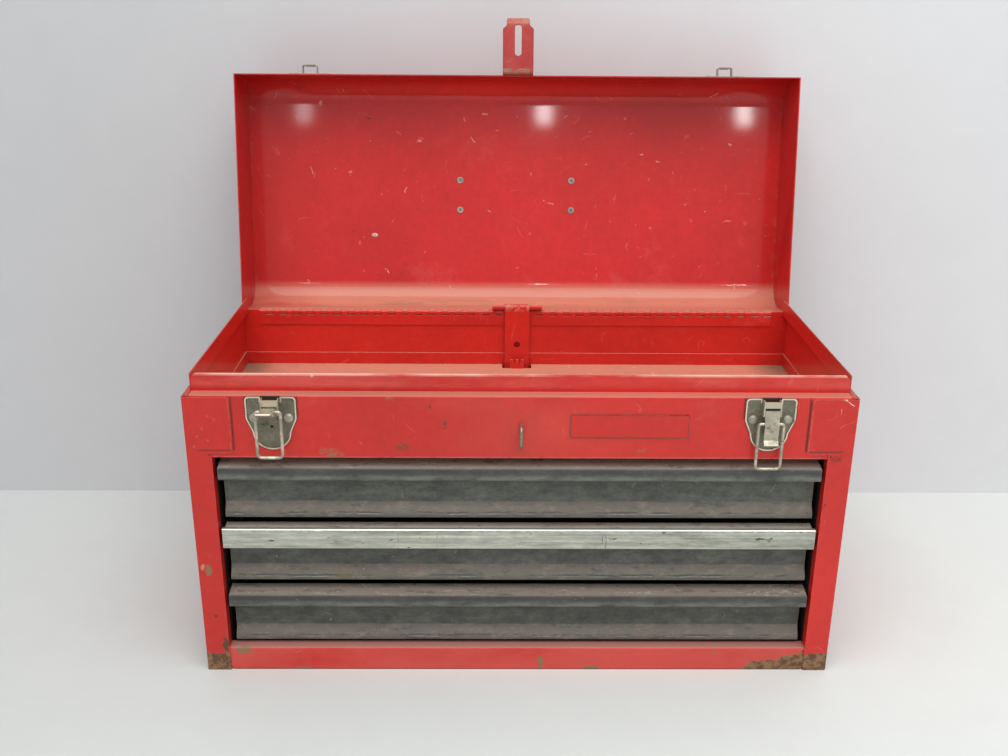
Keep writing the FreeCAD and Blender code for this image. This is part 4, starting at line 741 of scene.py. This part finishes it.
def lever_metal():
    f = tarnished("lever_metal", 1.0, LEVER, 0.75, 0.3)
    f.tint(f.edges(0.0006, 0.03, 0.3), PLATE_BRIGHT, 0.35, 0.8)
    return f.done()


def bail_wire():
    f = tarnished("bail_wire", 3.0, LEVER, 0.6, 0.5)
    f.tint(f.patches(120, 0.52, 0.62, 4, 0.6, shift=6.0), PLATE_BRIGHT, 0.3, 0.6)
    return f.done()


def strike_metal():
    f = tarnished("strike_metal", 4.0, STRIKE, 0.6, 0.3)
    brighten_edges(f, 0.0007, 0.5)
    return f.done()


def handle_metal():
    f = tarnished("handle_metal", 6.0, HANDLE)
    brighten_edges(f, 0.0009, 0.5)
    return f.done()


def grip_plastic():
    """The handle's grip: black plastic, grey where hands have rubbed it."""
    f = Finish("grip_plastic", GRIP, 0.5)
    f.shade(f.noise(60, 4), 0.7, 1.4)
    f.tint(f.patches(25, 0.60, 0.75), GRIP_WORN, 0.7, 0.5)
    f.raised(f.noise(600, 2), 0.00008)
    return f.done()


# --- dressing --------------------------------------------------------------------------------


def dress(material, *nodes):
    for name in nodes:
        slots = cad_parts[name].data.materials
        slots.clear()
        slots.append(material)


def dress_case():
    dress(side_enamel("left", 1.0), "left_side")
    dress(side_enamel("right", 2.3), "right_side")
    dress(rail_enamel(), "front_top_rail")
    dress(foot_enamel(), "bottom_front_rail")
    dress(till_enamel(), "till_pan")
    dress(plain_enamel("back_enamel", 6.1), "back_panel", "bottom_pan")
    runners = [side + level + "_runner" for side in ("left_", "right_") for level in STRIP_BROWN]
    dress(shaded_inner_steel(), "left_rear_post", "right_rear_post", *runners)
    dress(badge_enamel(), "badge_plate")


def dress_lid():
    dress(lid_enamel(), "lid_shell")
    dress(lid_end_enamel(), "lid_left_end", "lid_right_end")
    dress(hinge_enamel(), "hinge_lower_leaf", "hinge_upper_leaf", "lock_bracket")
    dress(lock_bar_enamel(), "lock_bar")
    dress(hasp_enamel(), "hasp_leaf", "hasp_flap", "hasp_pin")


def dress_drawers():
    for count, level in enumerate(STRIP_BROWN):
        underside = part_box(level + "_drawer_tray")[0].z
        paint = drawer_paint(level + "_drawer_paint", count * 1.7, underside, STRIP_BROWN[level])
        dress(paint, level + "_drawer_front", level + "_drawer_tray")
    dress(trim_metal(), "middle_drawer_trim")


def dress_fittings():
    dress(latch_plate_metal(), "left_latch_plate", "right_latch_plate")
    dress(lever_metal(), "left_lever", "right_lever")
    dress(bail_wire(), "left_bail", "right_bail")
    dress(tarnished("rivet_metal", 2.0, RIVET).done(), "latch_rivets", "strike_rivets", "handle_rivets",
          "left_lever_pin", "right_lever_pin", "hinge_pin", "lock_pin")
    dress(strike_metal(), "left_strike", "right_strike")
    dress(tarnished("staple_wire", 5.0, STAPLE, 0.7, 0.7).done(), "hasp_staple")
    dress(handle_metal(), "handle_rod", "handle_left_bracket", "handle_right_bracket")
    dress(grip_plastic(), "handle_grip")


# --- studio ----------------------------------------------------------------------------------

WALL_PLACE = 0.228
ROOM = 4.0
SKY = (0.98, 0.995, 1.0, 1.0)
SKY_STRENGTH = 0.58
# Each lamp: where it stands, where it points, its width, its height and its power.
LAMPS = {
    "ceiling": ((0.05, -0.8, 2.3), (0, 0, 0.1), 2.4, 1.4, 38),
    "window_left": ((-0.70, -2.65, 1.11), (0, 0.1, 0.3), 0.05, 0.09, 0.22),
    "window_middle": ((0.161, -2.65, 1.11), (0, 0.1, 0.3), 0.05, 0.09, 0.6),
    "window_right": ((0.882, -2.65, 1.11), (0, 0.1, 0.3), 0.05, 0.09, 0.65),
    "front_fill": ((0.1, -2.2, 2.3), (0, 0, 0.2), 2.2, 0.8, 14),
}


def studio_surface(name, left, right):
    """A matt surface with painted light: a little lighter towards the right, and low on the wall."""
    f = Finish(name, left, 0.6)
    # Painted light: lighter towards the right, and a little lighter low down.
    f.tint(f.rise(f.axis("X"), -0.55, 0.60), right)
    f.tint(f.rise(f.axis("Z"), 0.60, 0.15), [part * 1.1 for part in right], None, 0.10)
    f.shade(f.noise(1.5, 4), 0.985, 1.015)
    f.shade(f.noise(25, 4, 0.7), 0.99, 1.01)
    return f.done()


def clear_from_behind(surface):
    """Leave a wall solid to the room in front of it and clear to whoever stands behind it."""
    nodes = surface.node_tree.nodes
    links = surface.node_tree.links
    out = next(node for node in nodes if node.type == "OUTPUT_MATERIAL")
    choice = nodes.new("ShaderNodeMixShader")
    links.new(nodes.new("ShaderNodeNewGeometry").outputs["Backfacing"], choice.inputs[0])
    links.new(out.inputs["Surface"].links[0].from_socket, choice.inputs[1])
    links.new(nodes.new("ShaderNodeBsdfTransparent").outputs[0], choice.inputs[2])
    links.new(choice.outputs[0], out.inputs["Surface"])
    return surface


def backdrop():
    """A pale floor, and a pale wall close behind the chest that hides nothing from behind it."""
    floor = ((-ROOM, -ROOM, 0), (ROOM, -ROOM, 0), (ROOM, ROOM, 0), (-ROOM, ROOM, 0))
    wall = ((-ROOM, WALL_PLACE, 0), (ROOM, WALL_PLACE, 0),
            (ROOM, WALL_PLACE, ROOM), (-ROOM, WALL_PLACE, ROOM))
    for name, corners, surface in (
        ("studio_floor", floor, studio_surface("studio_floor", FLOOR_LEFT, FLOOR_RIGHT)),
        ("studio_wall", wall, clear_from_behind(studio_surface("studio_wall", WALL_LEFT, WALL_RIGHT))),
    ):
        mesh = bpy.data.meshes.new(name)
        mesh.from_pydata(corners, [], [(0, 1, 2, 3)])
        mesh.materials.append(surface)
        plane = bpy.data.objects.new(name, mesh)
        bpy.context.scene.collection.objects.link(plane)


def studio_light():
    world = bpy.data.worlds.new("studio")
    world.use_nodes = True
    sky = world.node_tree.nodes["Background"]
    sky.inputs["Color"].default_value = SKY
    sky.inputs["Strength"].default_value = SKY_STRENGTH
    bpy.context.scene.world = world
    for name, (place, aim, width, height, power) in LAMPS.items():
        data = bpy.data.lights.new(name, "AREA")
        data.shape = "RECTANGLE"
        data.size = width
        data.size_y = height
        data.energy = power
        light = bpy.data.objects.new(name, data)
        light.location = place
        light.rotation_euler = (Vector(aim) - Vector(place)).to_track_quat("-Z", "Y").to_euler()
        bpy.context.scene.collection.objects.link(light)


CAMERA_PLACE = (-0.0230, -0.8803, 0.5482)
CAMERA_YAW = math.radians(0.697)
CAMERA_PITCH = math.radians(20.334)
CAMERA_ROLL = math.radians(0.474)
CAMERA_SENSOR = 36.0
# The focal length as a share of the picture's width, both in pixels.
CAMERA_FOCUS = 1084.1 / 1008


def camera():
    data = bpy.data.cameras.new("camera")
    data.sensor_fit = "HORIZONTAL"
    data.sensor_width = CAMERA_SENSOR
    data.lens = CAMERA_SENSOR * CAMERA_FOCUS
    data.clip_start = 0.01
    view = bpy.data.objects.new("camera", data)
    turn = Matrix.Rotation(-CAMERA_YAW, 4, "Z") @ Matrix.Rotation(math.pi / 2 - CAMERA_PITCH, 4, "X")
    view.matrix_world = Matrix.Translation(CAMERA_PLACE) @ turn @ Matrix.Rotation(CAMERA_ROLL, 4, "Z")
    bpy.context.scene.collection.objects.link(view)
    bpy.context.scene.camera = view


dress_case()
dress_lid()
dress_drawers()
dress_fittings()
backdrop()
studio_light()
camera()
bpy.context.scene.view_settings.view_transform = "Standard"
